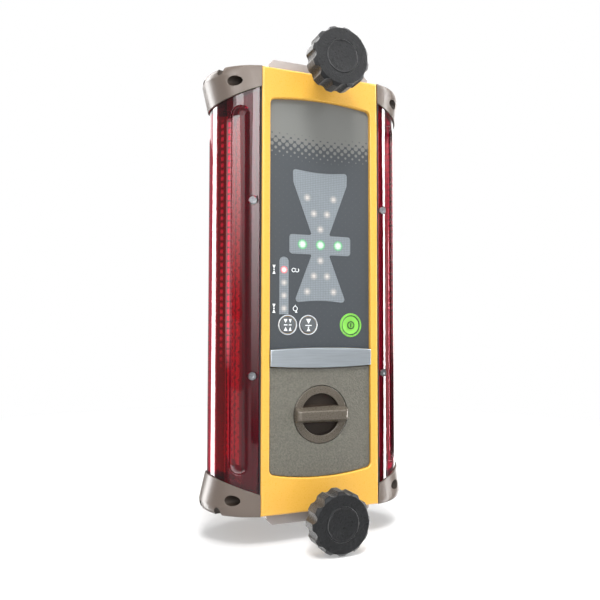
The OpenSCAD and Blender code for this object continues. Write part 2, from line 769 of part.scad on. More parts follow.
module sensor_frame_left() sensor_frame(-1);
module sensor_frame_right() sensor_frame(1);

module sensor_board(s) color("#3a1014") place() side(s)
    block([sensor_x, rail_inner_y, -sensor_z], [sensor_x + sensor_t, 2 * window_r - rail_inner_y, sensor_z]);
module sensor_board_left() sensor_board(-1);
module sensor_board_right() sensor_board(1);

// Two columns of light cells on the outer face of the sensor board
module photodiodes(s) color("#15151a") place() side(s)
    for (i = [0 : diode_count - 1], c = [-1, 1])
        translate([sensor_x + sensor_t + diode_size[0] / 2, window_r + c * diode_off,
            (i - (diode_count - 1) / 2) * diode_pitch]) cube(diode_size, center = true);
module photodiodes_left() photodiodes(-1);
module photodiodes_right() photodiodes(1);

// Flat cables from the main board through the side walls to the sensor boards
module flex_cables() color("#c8a25a") place() for (s = [-1, 1]) side(s)
    block([board_half_w - 4, board_y + board_t, flex_z - flex_w / 2],
        [sensor_x, board_y + board_t + flex_t, flex_z + flex_w / 2]);

// Flared cap over one end of a window, flush with the front face
module cap_level(z, y, a, b) translate([window_x, y, z]) scale([a, b, 1]) cylinder(r = 1, h = 0.02, $fn = 72);
module cap_form() {
    mid = housing_d / 2;
    swell = window_r + cap_swell;
    low_z = cap_edge_z - (far_x - half_w) * cap_slope;
    hull() {
        cap_level(top - 0.02, mid, mid, mid);
        cap_level(top - 0.25 * cap_swell_z, mid, mid + 0.66 * (swell - mid), mid + 0.1);
        cap_level(top - 0.6 * cap_swell_z, mid, mid + 0.93 * (swell - mid), mid + 0.2);
        cap_level(top - cap_swell_z, mid, swell, mid + 0.2);
        cap_level(low_z, window_r, window_r + 0.7, window_r + 0.5);
    }
}
module end_cap(s, e) color("#82766c") place() end(e) side(s) difference() {
    cap_form();
    block([-far_x, -housing_d, bottom], [half_w, 2 * housing_d, top + over]);
    slab(-housing_d, 2 * housing_d) difference() {
        translate([0, bottom]) square([far_x + over, 2 * top]);
        polygon([[half_w - over, cap_edge_z + over * cap_slope], [half_w - over, top + over],
            [far_x + over, top + over], [far_x + over, cap_edge_z - (far_x + over - half_w) * cap_slope]]);
    }
    intersection() {
        rod_z(window_r + fit_gap, bottom, top, window_x, window_r);
        slab(-over, housing_d + over) window_side_2d(half_w - over, cap_overlap);
    }
    for (a = notch_angles)
        translate([window_x, housing_d / 2, top]) rotate([0, 0, a - 90]) translate([housing_d / 2, 0, 0])
            rotate([0, -notch_lean, 0]) cylinder(r = notch_d / 2, h = 30, center = true);
    for (y = well_places) {
        rod_x(well_d / 2, well_floor, far_x + over, y, top - well_z);
        rod_x(cap_screw_r + 0.2, half_w - over, far_x, y, top - well_z);
    }
}
module end_cap_top_left() end_cap(-1, 1);
module end_cap_top_right() end_cap(1, 1);
module end_cap_bottom_left() end_cap(-1, -1);
module end_cap_bottom_right() end_cap(1, -1);

module cap_screws() color("#b8b8bc") place()
    for (s = [-1, 1], e = [-1, 1], y = well_places) end(e) side(s) difference() {
        union() {
            rod_x(cap_screw_r, inner_w + 0.3, well_floor + 1, y, top - well_z);
            rod_x(cap_head_r, well_floor, well_floor + cap_head_t, y, top - well_z);
        }
        translate([well_floor + 1, y, top - well_z]) rotate([0, 90, 0]) cylinder(r = 1.5, h = 3, $fn = 6);
    }

// Clamp bracket: base plate in the tray, two bored ears for the stud, and a saddle for the mast
module bracket(e) color("#cfcac8") place() end(e) difference() {
    base_top = tray_z + base_t;
    union() {
        translate([0, 0, tray_z]) linear_extrude(base_t) {
            translate([-base_half_w, ear_y]) square([2 * base_half_w, housing_d - ear_y]);
            translate([-saddle_half_w, ear_y])
                square([2 * saddle_half_w, saddle_edge_y - ear_y - saddle_corner]);
            translate([-saddle_half_w + saddle_corner, ear_y])
                square([2 * (saddle_half_w - saddle_corner), saddle_edge_y - ear_y]);
            for (s = [-1, 1])
                translate([s * (saddle_half_w - saddle_corner), saddle_edge_y - saddle_corner])
                    circle(saddle_corner);
        }
        slab(ear_y, ear_y + ear_t) polygon([[-ear_foot_w, tray_z], [ear_foot_w, tray_z],
            [ear_foot_w, top + ear_proud - ear_corner], [ear_top_w, top + ear_proud],
            [-ear_top_w, top + ear_proud], [-ear_foot_w, top + ear_proud - ear_corner]]);
        block([-rear_ear_w / 2, rear_ear_y, tray_z], [rear_ear_w / 2, rear_ear_y + rear_ear_t, stud_z]);
        rod_y(rear_ear_w / 2, rear_ear_y, rear_ear_y + rear_ear_t, 0, stud_z);
    }
    rod_z(saddle_r, tray_z - over, base_top + over, 0, mast_y);
    rod_y(stud_r + run_gap, 0, housing_d, 0, stud_z);
    for (s = [-1, 1], y = bracket_screw_y) {
        rod_z(bracket_screw_r + 0.2, tray_z - over, base_top + over, s * bracket_screw_x, y);
        rod_z(bracket_head_r + 0.2, base_top - bracket_head_t, base_top + over, s * bracket_screw_x, y);
    }
}
module bracket_top() bracket(1);
module bracket_bottom() bracket(-1);

module bracket_screws() color("#9a9aa0") place()
    for (s = [-1, 1], e = [-1, 1], y = bracket_screw_y) end(e) difference() {
        head_z = tray_z + base_t - bracket_head_t;
        union() {
            rod_z(bracket_screw_r, cavity_z - bracket_boss_h + 2, head_z + 1, s * bracket_screw_x, y);
            rod_z(bracket_head_r, head_z, head_z + bracket_head_t - 0.2, s * bracket_screw_x, y);
        }
        translate([s * bracket_screw_x, y, head_z + 1.4]) cylinder(r = 2.2, h = bracket_head_t, $fn = 6);
    }

// Rubber lining of the two saddles
module saddle_pads() color("#222222") place() for (e = [-1, 1]) end(e) difference() {
    rod_z(saddle_r, tray_z, tray_z + base_t, 0, mast_y);
    rod_z(mast_r, tray_z - over, tray_z + base_t + over, 0, mast_y);
    block([-housing_w, saddle_edge_y - 2, tray_z - over], [housing_w, 2 * mast_y, tray_z + base_t + over]);
}

// Part of the plane that the hook reaches round, from the side of the mast to behind it
module wrap_sector(reach) polygon([[0, 0], [reach, 0], [reach, reach],
    [reach * cos(hook_wrap) / sin(hook_wrap), reach]]);

// Hook that goes round the side and the back of the mast
module clamp_hook(e) color("#3b3d40") place() end(e) translate([0, 0, stud_z - hook_t / 2]) difference() {
    linear_extrude(hook_t) {
        outer = saddle_r + hook_w;
        translate([-rear_ear_w / 2, hook_y]) square([rear_ear_w / 2 + outer - 6, hook_base_t]);
        translate([saddle_r, hook_y + 6]) square([hook_w, mast_y - hook_y - 6]);
        translate([outer - 6, hook_y + 6]) circle(6);
        translate([0, mast_y]) intersection() {
            difference() {
                circle(outer);
                circle(saddle_r);
            }
            wrap_sector(2 * outer);
        }
        translate([0, mast_y]) rotate(hook_wrap) translate([saddle_r + hook_w / 2, 0])
            circle(hook_w / 2 - 0.4);
    }
    translate([0, 0, hook_t / 2]) rod_y(stud_r, hook_y - over, hook_y + hook_base_t - 2, 0, 0);
}
module clamp_hook_top() clamp_hook(1);
module clamp_hook_bottom() clamp_hook(-1);

module hook_pad(e) color("#222222") place() end(e) translate([0, mast_y, stud_z - hook_t / 2])
    linear_extrude(hook_t) intersection() {
        difference() {
            circle(saddle_r);
            circle(mast_r);
        }
        wrap_sector(2 * saddle_r);
    }
module hook_pad_top() hook_pad(1);
module hook_pad_bottom() hook_pad(-1);

module clamp_stud(e) color("#a8a8ac") place() end(e)
    rod_y(stud_r, stud_tip_y, hook_y + hook_base_t - 2, 0, stud_z);
module clamp_stud_top() clamp_stud(1);
module clamp_stud_bottom() clamp_stud(-1);

// Scalloped knob with a neck, turned so that its first valley lies at the given angle
module clamp_knob(e, phase) color("#505256") place() translate([0, 0, e * stud_z]) rotate([-90, 0, 0])
    difference() {
        rotate_extrude() polygon([[knob_r - 2.1, knob_face_y], [knob_r, knob_face_y + 2],
            [knob_r, knob_back_y - 1], [knob_r - 1, knob_back_y], [neck_r, knob_back_y],
            [neck_r, neck_end_y], [stud_r + run_gap, neck_end_y], [stud_r + run_gap, stud_tip_y - 1],
            [0, stud_tip_y - 1], [0, knob_face_y + disc_t], [disc_d / 2 + fit_gap, knob_face_y + disc_t],
            [disc_d / 2 + fit_gap, knob_face_y]]);
        for (i = [0 : knob_lobes - 1]) rotate(-phase + i * 360 / knob_lobes)
            translate([knob_r + 2.2, 0, knob_face_y - over]) cylinder(r = 4.2, h = knob_t + 2 * over);
    }
module clamp_knob_top() clamp_knob(1, 3.5);
module clamp_knob_bottom() clamp_knob(-1, 16);

// Disc set into the knob's face, with a shallow dish
module knob_disc(e) color("#46484c") place() translate([0, 0, e * stud_z]) rotate([-90, 0, 0])
    rotate_extrude() polygon([[0, knob_face_y + 0.5], [disc_d / 2 - 1.6, knob_face_y + 0.3],
        [disc_d / 2 - 0.6, knob_face_y - 0.1], [disc_d / 2, knob_face_y + 0.2],
        [disc_d / 2, knob_face_y + disc_t], [0, knob_face_y + disc_t]]);
module knob_disc_top() knob_disc(1);
module knob_disc_bottom() knob_disc(-1);

module knob_washers() color("silver") place() for (e = [-1, 1]) difference() {
    rod_y(washer_r, neck_end_y + run_gap, ear_y, 0, e * stud_z);
    rod_y(stud_r + 0.2, 0, housing_d, 0, e * stud_z);
}

// Box behind the front cover that takes the cassette
module battery_bay() color("#3c3c40") place() translate([0, 0, lock_z]) {
    difference() {
        block([-bay_half_w - bay_wall, lip_back, -bay_half_h - bay_wall],
            [bay_half_w + bay_wall, bay_rear + bay_wall, bay_half_h + bay_wall]);
        block([-bay_half_w, lip_back - over, -bay_half_h], [bay_half_w, bay_rear, bay_half_h]);
    }
    for (s = [-1, 1]) {
        side(s) block([tray_half_w + part_gap, tray_y + 2, -rib_w / 2],
            [bay_half_w + bay_wall / 2, bay_rear + bay_wall / 2, rib_w / 2]);
        end(s) block([-rib_w / 2, tray_y + 2, tray_half_h + part_gap],
            [rib_w / 2, bay_rear + bay_wall / 2, bay_half_h + bay_wall / 2]);
    }
}

// Places of the cells, which lie across the cassette one above the other
module each_cell() for (i = [0 : cell_rows - 1])
    translate([0, cell_y, lock_z + (i - (cell_rows - 1) / 2) * cell_pitch]) children();

module bay_contacts() color("gold") place() for (s = [-1, 1]) side(s)
    slab(bay_rear - leaf_t, bay_rear) translate([tray_half_w - leaf_w / 2, lock_z])
        rounded_rect(leaf_w, leaf_h, 2);

// Door with a round well for the lock knob, a boss behind it and posts that carry the tray
module battery_door() color("#7a756c") place() difference() {
    union() {
        slab(door_depth, door_back) door_2d(part_gap);
        rod_y(boss_r, door_back - over, boss_back, 0, lock_z);
        for (x = [-1, 1], z = [-1, 1])
            rod_y(post_r, door_back - over, tray_y, x * post_x, lock_z + z * post_z);
    }
    rod_y(lock_r + lock_gap, 0, lock_back + 0.3, 0, lock_z);
    rod_y(shaft_r + run_gap, 0, boss_back + over, 0, lock_z);
}

module door_seal() color("#1d1d20") place() slab(door_back, door_floor - run_gap)
    translate([0, lock_z]) difference() {
        rounded_rect(bay_w + 2 * (seal_w + seal_gap), bay_h + 2 * (seal_w + seal_gap), 3);
        rounded_rect(bay_w + 2 * seal_gap, bay_h + 2 * seal_gap, 2);
    }

// Open tray with a trough for each cell
module battery_tray() color("#2c2c30") place() difference() {
    block([-tray_half_w, tray_y, lock_z - tray_half_h], [tray_half_w, tray_back, lock_z + tray_half_h]);
    each_cell() {
        rod_x(cell_r + cell_gap, -cell_len / 2 - spring_t, cell_len / 2 + cell_gap, 0, 0);
        block([-cell_len / 2 - spring_t, 0, -cell_r - cell_gap],
            [cell_len / 2 + cell_gap, cell_d, cell_r + cell_gap]);
    }
}

module battery_cells() color("#c9a227") place() each_cell() {
    rod_x(cell_r, -cell_len / 2, cell_len / 2 - nub_t, 0, 0);
    rod_x(nub_r, 0, cell_len / 2, 0, 0);
}

module contact_springs() color("silver") place() each_cell()
    rod_x(spring_r, -cell_len / 2 - spring_t, -cell_len / 2, 0, 0);

// Turning lock: ring, dish and a handle across it
module lock_knob() color("#7d7468") place() difference() {
    front = door_depth + 0.1;
    union() {
        difference() {
            rod_y(lock_r, front, lock_back, 0, lock_z);
            rod_y(dish_r, front - over, lock_back - 1, 0, lock_z);
        }
        intersection() {
            translate([0, lock_back - 0.5, lock_z]) linear_extrude(2 * lock_r, center = true) mirror([0, 1])
                handle_2d(lock_back - 0.5 - door_depth + handle_out);
            translate([0, 0, lock_z]) rotate([90, 0, 90]) linear_extrude(2 * lock_r, center = true)
                handle_side_2d(door_depth - handle_out);
            rod_y(lock_r, door_depth - handle_out - over, lock_back, 0, lock_z);
        }
        rod_y(shaft_r, lock_back - over, tongue_y, 0, lock_z);
    }
    rod_y(lock_screw_r + run_gap, front + 1, tongue_y + over, 0, lock_z);
}

// Handle seen from the side, thicker towards its foot
module handle_side_2d(tip) polygon([[tip, -handle_t / 2], [tip, handle_t / 2],
    [lock_back, handle_t / 2 + handle_flare], [lock_back, -handle_t / 2 - handle_flare]]);

// Handle seen from above, with its outer corners round
module handle_2d(out) {
    w = lock_d - 0.8;
    r = 3.5;
    translate([-w / 2, 0]) square([w, out - r]);
    translate([-w / 2 + r, 0]) square([w - 2 * r, out]);
    for (x = [-1, 1]) translate([x * (w / 2 - r), out - r]) circle(r);
}

module lock_tongue() color("silver") place() difference() {
    slab(tongue_y, tongue_y + tongue_t) translate([0, lock_z]) rounded_rect(tongue_len, tongue_w, 2);
    rod_y(lock_screw_r + run_gap, tongue_y - over, tongue_y + tongue_t + over, 0, lock_z);
}

module lock_screw() color("#9a9aa0") place() {
    head_y = tongue_y + tongue_t;
    rod_y(lock_screw_r, door_depth + 2.2, head_y + lock_head_t / 2, 0, lock_z);
    rod_y(lock_head_r, head_y, head_y + lock_head_t, 0, lock_z);
}

front_cover();
rear_cover();
cover_seal();
cover_screws();
display_panel();
arrow_lens();
level_lens();
name_bar();
key_rings();
scale_key();
zero_key();
power_key();
main_board();
board_screws();
arrow_lights();
centre_lights();
level_lights();
key_switches();
window_left();
window_right();
window_gaskets();
window_screws();
sensor_frame_left();
sensor_frame_right();
sensor_board_left();
sensor_board_right();
photodiodes_left();
photodiodes_right();
flex_cables();
end_cap_top_left();
end_cap_top_right();
end_cap_bottom_left();
end_cap_bottom_right();
cap_screws();
bracket_top();
bracket_bottom();
bracket_screws();
saddle_pads();
clamp_hook_top();
clamp_hook_bottom();
hook_pad_top();
hook_pad_bottom();
clamp_stud_top();
clamp_stud_bottom();
clamp_knob_top();
clamp_knob_bottom();
knob_disc_top();
knob_disc_bottom();
knob_washers();
battery_bay();
bay_contacts();
battery_door();
door_seal();
battery_tray();
battery_cells();
contact_springs();
lock_knob();
lock_tongue();
lock_screw();
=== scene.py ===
"""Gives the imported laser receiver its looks: edges, finishes, small signs, light and camera."""
import json
import math

import bmesh
import bpy
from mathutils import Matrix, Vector

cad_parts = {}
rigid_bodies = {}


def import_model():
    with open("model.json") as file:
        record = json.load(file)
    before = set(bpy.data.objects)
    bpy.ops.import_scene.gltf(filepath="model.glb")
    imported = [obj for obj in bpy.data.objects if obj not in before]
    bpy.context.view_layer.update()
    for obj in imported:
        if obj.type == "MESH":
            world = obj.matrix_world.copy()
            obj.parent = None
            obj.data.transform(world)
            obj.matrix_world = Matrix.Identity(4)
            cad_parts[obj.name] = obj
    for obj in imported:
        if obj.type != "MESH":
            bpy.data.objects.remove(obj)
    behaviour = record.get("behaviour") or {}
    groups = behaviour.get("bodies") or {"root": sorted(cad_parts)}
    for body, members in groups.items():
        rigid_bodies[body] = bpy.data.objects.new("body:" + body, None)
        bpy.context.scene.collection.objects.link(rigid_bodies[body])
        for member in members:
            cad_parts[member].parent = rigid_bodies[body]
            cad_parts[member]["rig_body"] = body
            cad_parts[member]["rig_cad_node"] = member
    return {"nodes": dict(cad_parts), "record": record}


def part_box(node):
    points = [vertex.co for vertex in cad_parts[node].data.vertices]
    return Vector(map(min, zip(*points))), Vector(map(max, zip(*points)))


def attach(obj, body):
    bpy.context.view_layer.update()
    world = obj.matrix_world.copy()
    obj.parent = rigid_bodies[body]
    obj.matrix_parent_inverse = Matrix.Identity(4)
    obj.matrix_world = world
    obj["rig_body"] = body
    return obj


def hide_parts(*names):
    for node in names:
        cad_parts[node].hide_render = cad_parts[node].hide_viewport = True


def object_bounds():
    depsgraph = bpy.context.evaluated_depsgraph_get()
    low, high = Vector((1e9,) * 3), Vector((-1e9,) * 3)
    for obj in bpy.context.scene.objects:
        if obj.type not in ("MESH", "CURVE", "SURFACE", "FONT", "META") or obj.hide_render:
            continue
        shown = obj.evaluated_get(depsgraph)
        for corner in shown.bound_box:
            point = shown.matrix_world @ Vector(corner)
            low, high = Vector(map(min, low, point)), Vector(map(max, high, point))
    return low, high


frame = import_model()
CAD_BOX = [[float(v) for v in corner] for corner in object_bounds()]
NODES = frame["nodes"]
BODY_OF = {n: b for b, members in frame["record"]["behaviour"]["bodies"].items() for n in members}

bl_info = {
    "name": "Laser Receiver Looks",
    "version": (1, 0, 0),
    "blender": (4, 5, 0),
    "location": "View3D > Sidebar > Receiver",
    "description": "Rounds, finishes and lights the pieces of a laser receiver",
    "category": "Object",
}

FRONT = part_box("front_cover")[0][1]
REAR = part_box("rear_cover")[1][1]
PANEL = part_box("display_panel")[0][1]

# Measures that tell the parts of a solid apart, in metres
NEAR = 0.0002  # an edge this close to a front or rear plane lies in it
IN_PLANE = 0.00004  # a corner this close to the door's front lies in it
SNUG = 0.00002  # slack of a test against a modelled size
SIZE_SLACK = 0.0006  # how far the box of a rounded copy may depart from its solid's
LIGHT_RADIUS = 0.0024  # of a light behind the diffusers
LINE_DEPTH = 0.0045  # how far the thin line of a window reaches from the front
LINE_INNER, LINE_OUTER = 0.0505, 0.0575  # where that line lies from the middle plane
WELL_ROUND = 0.0042  # edges of a cap further than this from a screw well's axis are rounded
WELL_RIM = 0.0039  # edges nearer than this are the rim of the well
WELL_INSIDE = 0.00365  # faces nearer than this are inside the well
NOTCH_KEEP = 0.0085  # edges of a cap nearer than this to a notch stay sharp
FLUTE_START, FLUTE_END = 0.0004, 0.0135  # where the flutes of a knob lie from its face
HANDLE_HALF = 0.0062  # half the height of the lock's handle, with its edges
DISH_TOP, DISH_FLOOR = 0.0007, 0.0045  # where the lock's dish lies from the door's front

# Angles
COPLANAR = math.radians(0.05)  # faces that differ by less are merged before rounding
UPRIGHT = math.radians(90)  # stands a flat primitive up to face the front
NOTCH_TURNS = [math.radians(a) for a in (58, 91, 124)]  # of a cap's notches, from the front
NOTCH_LEAN = math.radians(50)  # of a notch's axis, from upright

TARGET_Y = -0.07  # depth of the point that the lamps and cards face


def paint(code):
    """Linear colour of a web colour code."""
    out = []
    for i in (1, 3, 5):
        v = int(code[i:i + 2], 16) / 255.0
        out.append(v / 12.92 if v <= 0.04045 else ((v + 0.055) / 1.055) ** 2.4)
    return tuple(out)


def length(label, text, size):
    """A size that a user may change."""
    return bpy.props.FloatProperty(name=label, description=text, default=size, unit="LENGTH",
                                   precision=5)


def colour(label, text, code):
    """A colour that a user may change."""
    return bpy.props.FloatVectorProperty(name=label, description=text, default=paint(code),
                                         size=3, subtype="COLOR", min=0.0, max=1.0)


class ReceiverSizes(bpy.types.PropertyGroup):
    """Sizes of the rounded edges and of the small modelled pieces."""
    rim_edge: length("Recess rim", "Radius on the rim of the front recess", 0.0010)
    cover_edge: length("Cover edges", "Radius on the other edges of the covers", 0.0004)
    cap_edge: length("Cap edges", "Radius on the edges of the end caps", 0.0006)
    cap_centre: length("Cap centre", "Distance of a cap's round from the middle plane", 0.0415)
    well_end: length("Well height", "Distance of the screw wells from the end of a cap", 0.0115)
    well_front: length("Front well", "Distance of the front screw wells from the front", 0.0083)
    well_rear: length("Rear well", "Distance of the rear screw wells from the rear", 0.0129)
    window_edge: length("Window edges", "Radius on the edges of the windows", 0.0008)
    knob_edge: length("Knob edges", "Radius on the edges of the clamp knobs' flutes", 0.0004)
    knob_rim: length("Knob rim", "Width of a clamp knob's rim, in which edges are rounded", 0.0035)
    bar_edge: length("Name bar edge", "Radius on the edge of the name bar", 0.0008)
    door_edge: length("Door edges", "Radius on the edges of the battery door", 0.0005)
    lock_edge: length("Lock edges", "Radius on the edges of the lock", 0.0010)
    notch_radius: length("Notches", "Radius of the notches in the end caps", 0.0030)
    dish_radius: length("Lock dish", "Radius of the dish in the lock", 0.0155)
    key_edge: length("Key edges", "Radius on the edges of the keys", 0.0005)
    metal_edge: length("Clamp edges", "Radius on the edges of brackets and hooks", 0.0006)
    sign_height: length("Sign height", "Height of the raised signs", 0.00012)
    groove_radius: length("Power groove", "Radius of the groove in the power key", 0.0075)
    groove_width: length("Power groove width", "Width of the groove in the power key", 0.0007)
    cell_pitch: length("Cell pitch", "Distance between two lens domes on a sensor board", 0.0052)


class ReceiverColours(bpy.types.PropertyGroup):
    """Colours of the finishes."""
    shell: colour("Shell", "Yellow of both covers", "#E2AD47")
    cap: colour("End cap", "Metallic taupe of the end caps", "#665B53")
    door: colour("Door", "Grained taupe of the battery door", "#5D5B52")
    lock: colour("Lock", "Taupe of the turning lock", "#5E574D")
    bar: colour("Name bar", "Silver of the bare name bar", "#A4ABB1")
    panel_dark: colour("Panel", "Dark grey of the display panel", "#464A4E")
    panel_light: colour("Panel top", "Light grey above the dot fade", "#757673")
    lens: colour("Diffuser", "Grey of the arrow and the level strip", "#848C92")
    window: colour("Window", "Red of the sensor windows", "#BC103A")
    knob: colour("Knob", "Dark grey of the clamp knobs", "#101113")
    key: colour("Key", "Dark grey of the small keys", "#55595C")
    ring: colour("Key ring", "Silver of the rings round the small keys", "#C9CCCF")
    power: colour("Power key", "Green of the power key", "#7FCB50")
    sign: colour("Sign", "White of the printed signs", "#EEF2F4")
    metal: colour("Bracket", "Pale metal of the brackets", "#A8A19E")


class ReceiverStage(bpy.types.PropertyGroup):
    """Camera and light."""
    lens: bpy.props.FloatProperty(
        name="Lens", description="Focal length", default=38.6, unit="CAMERA")
    place: bpy.props.FloatVectorProperty(
        name="Camera place", description="Where the camera stands",
        default=(-0.1950, -0.5473, -0.0300), subtype="TRANSLATION", unit="LENGTH")
    turn: bpy.props.FloatVectorProperty(
        name="Camera turn", description="How the camera is turned",
        default=[math.radians(a) for a in (92.62, -0.08, -22.03)], subtype="EULER", unit="ROTATION")
    ambient: bpy.props.FloatProperty(
        name="Ambient", description="Strength of the light from all round", default=0.26)


# Small helpers for selecting and shaping

def only(*objs):
    """Selects these objects alone; the last one is active."""
    bpy.ops.object.select_all(action="DESELECT")
    for o in objs:
        o.select_set(True)
        bpy.context.view_layer.objects.active = o


def unselected(piece):
    """The mesh in edit mode, with nothing selected."""
    bm = bmesh.from_edit_mesh(piece.data)
    for part in (bm.verts, bm.edges, bm.faces):
        for item in part:
            item.select = False
    return bm


def pick_edges(piece, sharp, pick):
    """Selects the sharp edges of the mesh in edit mode whose middle passes the test."""
    bm = unselected(piece)
    found = 0
    for e in bm.edges:
        if len(e.link_faces) == 2 and e.calc_face_angle(0.0) > sharp:
            if pick is None or pick((e.verts[0].co + e.verts[1].co) / 2):
                e.select_set(True)
                found += 1
    bmesh.update_edit_mesh(piece.data)
    return found


def refill(piece, face):
    """Fills a flat front anew, because rounding can fold a face with a hole over itself."""
    bm = unselected(piece)
    for f in bm.faces:
        if all(v.co.y < face + IN_PLANE for v in f.verts):
            f.select_set(True)
    bmesh.update_edit_mesh(piece.data)
    bpy.ops.mesh.delete(type="FACE")
    bm = bmesh.from_edit_mesh(piece.data)
    for e in bm.edges:
        e.select_set(e.is_boundary)
    bmesh.update_edit_mesh(piece.data)
    bpy.ops.mesh.fill(use_beauty=True)


def soft_copy(node, *rounds, smooth=33.0, sharp=32.0, front=None):
    """A copy of a solid with its sharp edges rounded.

    Each round is a radius, a segment count and an edge test. The angles are in degrees, and a
    flat front with a hole is given by its place.
    """
    only(NODES[node])
    bpy.ops.object.duplicate()
    piece = bpy.context.active_object
    piece.name = node + "_piece"
    piece.data.name = piece.name
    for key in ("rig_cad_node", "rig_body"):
        if key in piece:
            del piece[key]
    bpy.ops.object.parent_clear(type="CLEAR_KEEP_TRANSFORM")
    bpy.ops.mesh.customdata_custom_splitnormals_clear()
    bpy.ops.object.mode_set(mode="EDIT")
    bpy.ops.mesh.select_all(action="SELECT")
    bpy.ops.mesh.remove_doubles(threshold=1e-6)
    bpy.ops.mesh.dissolve_limited(angle_limit=COPLANAR)
    strength = "ALL"
    for radius, segments, pick in rounds:
        if pick_edges(piece, math.radians(sharp), pick):
            bpy.ops.mesh.bevel(offset=radius, offset_type="OFFSET", segments=segments,
                               profile=0.5, affect="EDGES", clamp_overlap=False,
                               face_strength_mode=strength)
            strength = "NEW"
    if front is not None:
        refill(piece, front)
    bpy.ops.mesh.select_all(action="DESELECT")
    bpy.ops.mesh.select_face_by_sides(number=4, type="GREATER")
    bpy.ops.mesh.quads_convert_to_tris(quad_method="BEAUTY", ngon_method="BEAUTY")
    bpy.ops.object.mode_set(mode="OBJECT")
    bpy.ops.object.shade_smooth_by_angle(angle=math.radians(smooth))
    even = piece.modifiers.new("even", "WEIGHTED_NORMAL")
    even.keep_sharp = True
    even.use_face_influence = bool(rounds)
    even.weight = 100
    bpy.ops.object.modifier_apply(modifier="even")
    reach = [[pick(v.co[i] for v in o.data.vertices) for o in (NODES[node], piece)]
             for pick in (min, max) for i in range(3)]
    if max(abs(solid - soft) for solid, soft in reach) > SIZE_SLACK:
        raise RuntimeError(node + ": its rounded copy doesn't keep its size")
    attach(piece, BODY_OF[node])
    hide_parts(node)
    return piece


def dress(obj, material):
    """Gives an object one material."""
    obj.data.materials.clear()
    obj.data.materials.append(material)


def dress_nodes(material, *names):
    """Gives carried over solids a material in their own slots."""
    for n in names:
        o = NODES[n]
        if not o.material_slots:
            o.data.materials.append(material)
        for s in o.material_slots:
            s.material = material


def place_piece(piece, name, body):
    """Names a new piece, settles its place in its mesh and fixes it to a body."""
    only(piece)
    bpy.ops.object.transform_apply(location=True, rotation=True, scale=True)
    piece.name = name
    piece.data.name = name
    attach(piece, body)
    return piece


def join(pieces):
    """Makes one object of several."""
    only(*pieces)
    if len(pieces) > 1:
        bpy.ops.object.join()
    return bpy.context.active_object


# Shared effects

def new_group(name, inputs, outputs):
    """A node group with named sockets, its input node and its output node."""
    group = bpy.data.node_groups.new(name, "ShaderNodeTree")
    for label, kind, value in inputs:
        s = group.interface.new_socket(label, in_out="INPUT", socket_type=kind)
        if value is not None:
            s.default_value = value
    for label, kind in outputs:
        group.interface.new_socket(label, in_out="OUTPUT", socket_type=kind)
    return group, group.nodes.new("NodeGroupInput"), group.nodes.new("NodeGroupOutput")


VEC, NUM = "NodeSocketVector", "NodeSocketFloat"


def feed(tree, socket, value):
    """Sets a socket to a number, or links it to another node's output."""
    if isinstance(value, (int, float)):
        socket.default_value = value
    else:
        tree.links.new(value, socket)


def maths(tree, kind, a, b=None):
    """Output of a Math node."""
    n = tree.nodes.new("ShaderNodeMath")
    n.operation = kind
    for i, v in enumerate((a, b)):
        if v is not None:
            feed(tree, n.inputs[i], v)
    return n.outputs[0]


def ramp(tree, value, low, high, to_low=0.0, to_high=1.0, smooth=False):
    """Output of a clamped Map Range node."""
    n = tree.nodes.new("ShaderNodeMapRange")
    n.interpolation_type = "SMOOTHSTEP" if smooth else "LINEAR"
    n.clamp = True
    tree.links.new(value, n.inputs[0])
    for i, v in zip((1, 2, 3, 4), (low, high, to_low, to_high)):
        feed(tree, n.inputs[i], v)
    return n.outputs[0]


def blend_colour(tree, factor, a, b, how="MIX"):
    """Output of a Mix node between two colours."""
    n = tree.nodes.new("ShaderNodeMix")
    n.data_type = "RGBA"
    n.blend_type = how
    feed(tree, n.inputs[0], factor)
    for i, v in ((6, a), (7, b)):
        if isinstance(v, (tuple, list)):
            n.inputs[i].default_value = (v[0], v[1], v[2], 1.0)
        else:
            tree.links.new(v, n.inputs[i])
    return n.outputs[2]


def noise(tree, vector, scale, detail, rough):
    """Output of a Noise Texture node."""
    n = tree.nodes.new("ShaderNodeTexNoise")
    tree.links.new(vector, n.inputs["Vector"])
    feed(tree, n.inputs["Scale"], scale)
    n.inputs["Detail"].default_value = detail
    n.inputs["Roughness"].default_value = rough
    return n.outputs["Fac"]


def grain_group():
    """Fine moulded grain and broad cloudy tone."""
    g, i, o = new_group("Surface grain", [("Coordinates", VEC, None), ("Scale", NUM, 1500.0)],
                        [("Fine", NUM), ("Broad", NUM)])
    fine = noise(g, i.outputs[0], i.outputs[1], 3.0, 0.6)
    broad = noise(g, i.outputs[0], maths(g, "MULTIPLY", i.outputs[1], 0.02), 2.0, 0.5)
    g.links.new(ramp(g, fine, 0.3, 0.7), o.inputs[0])
    g.links.new(ramp(g, broad, 0.3, 0.7), o.inputs[1])
    return g


def brush_group():
    """Long fine lines across a metal sheet."""
    g, i, o = new_group("Brushed lines", [("Coordinates", VEC, None), ("Scale", NUM, 900.0)],
                        [("Lines", NUM)])
    m = g.nodes.new("ShaderNodeMapping")
    m.inputs["Scale"].default_value = (0.02, 1.0, 1.0)
    g.links.new(i.outputs[0], m.inputs["Vector"])
    lines = noise(g, m.outputs[0], i.outputs[1], 2.0, 0.6)
    g.links.new(ramp(g, lines, 0.3, 0.7), o.inputs[0])
    return g


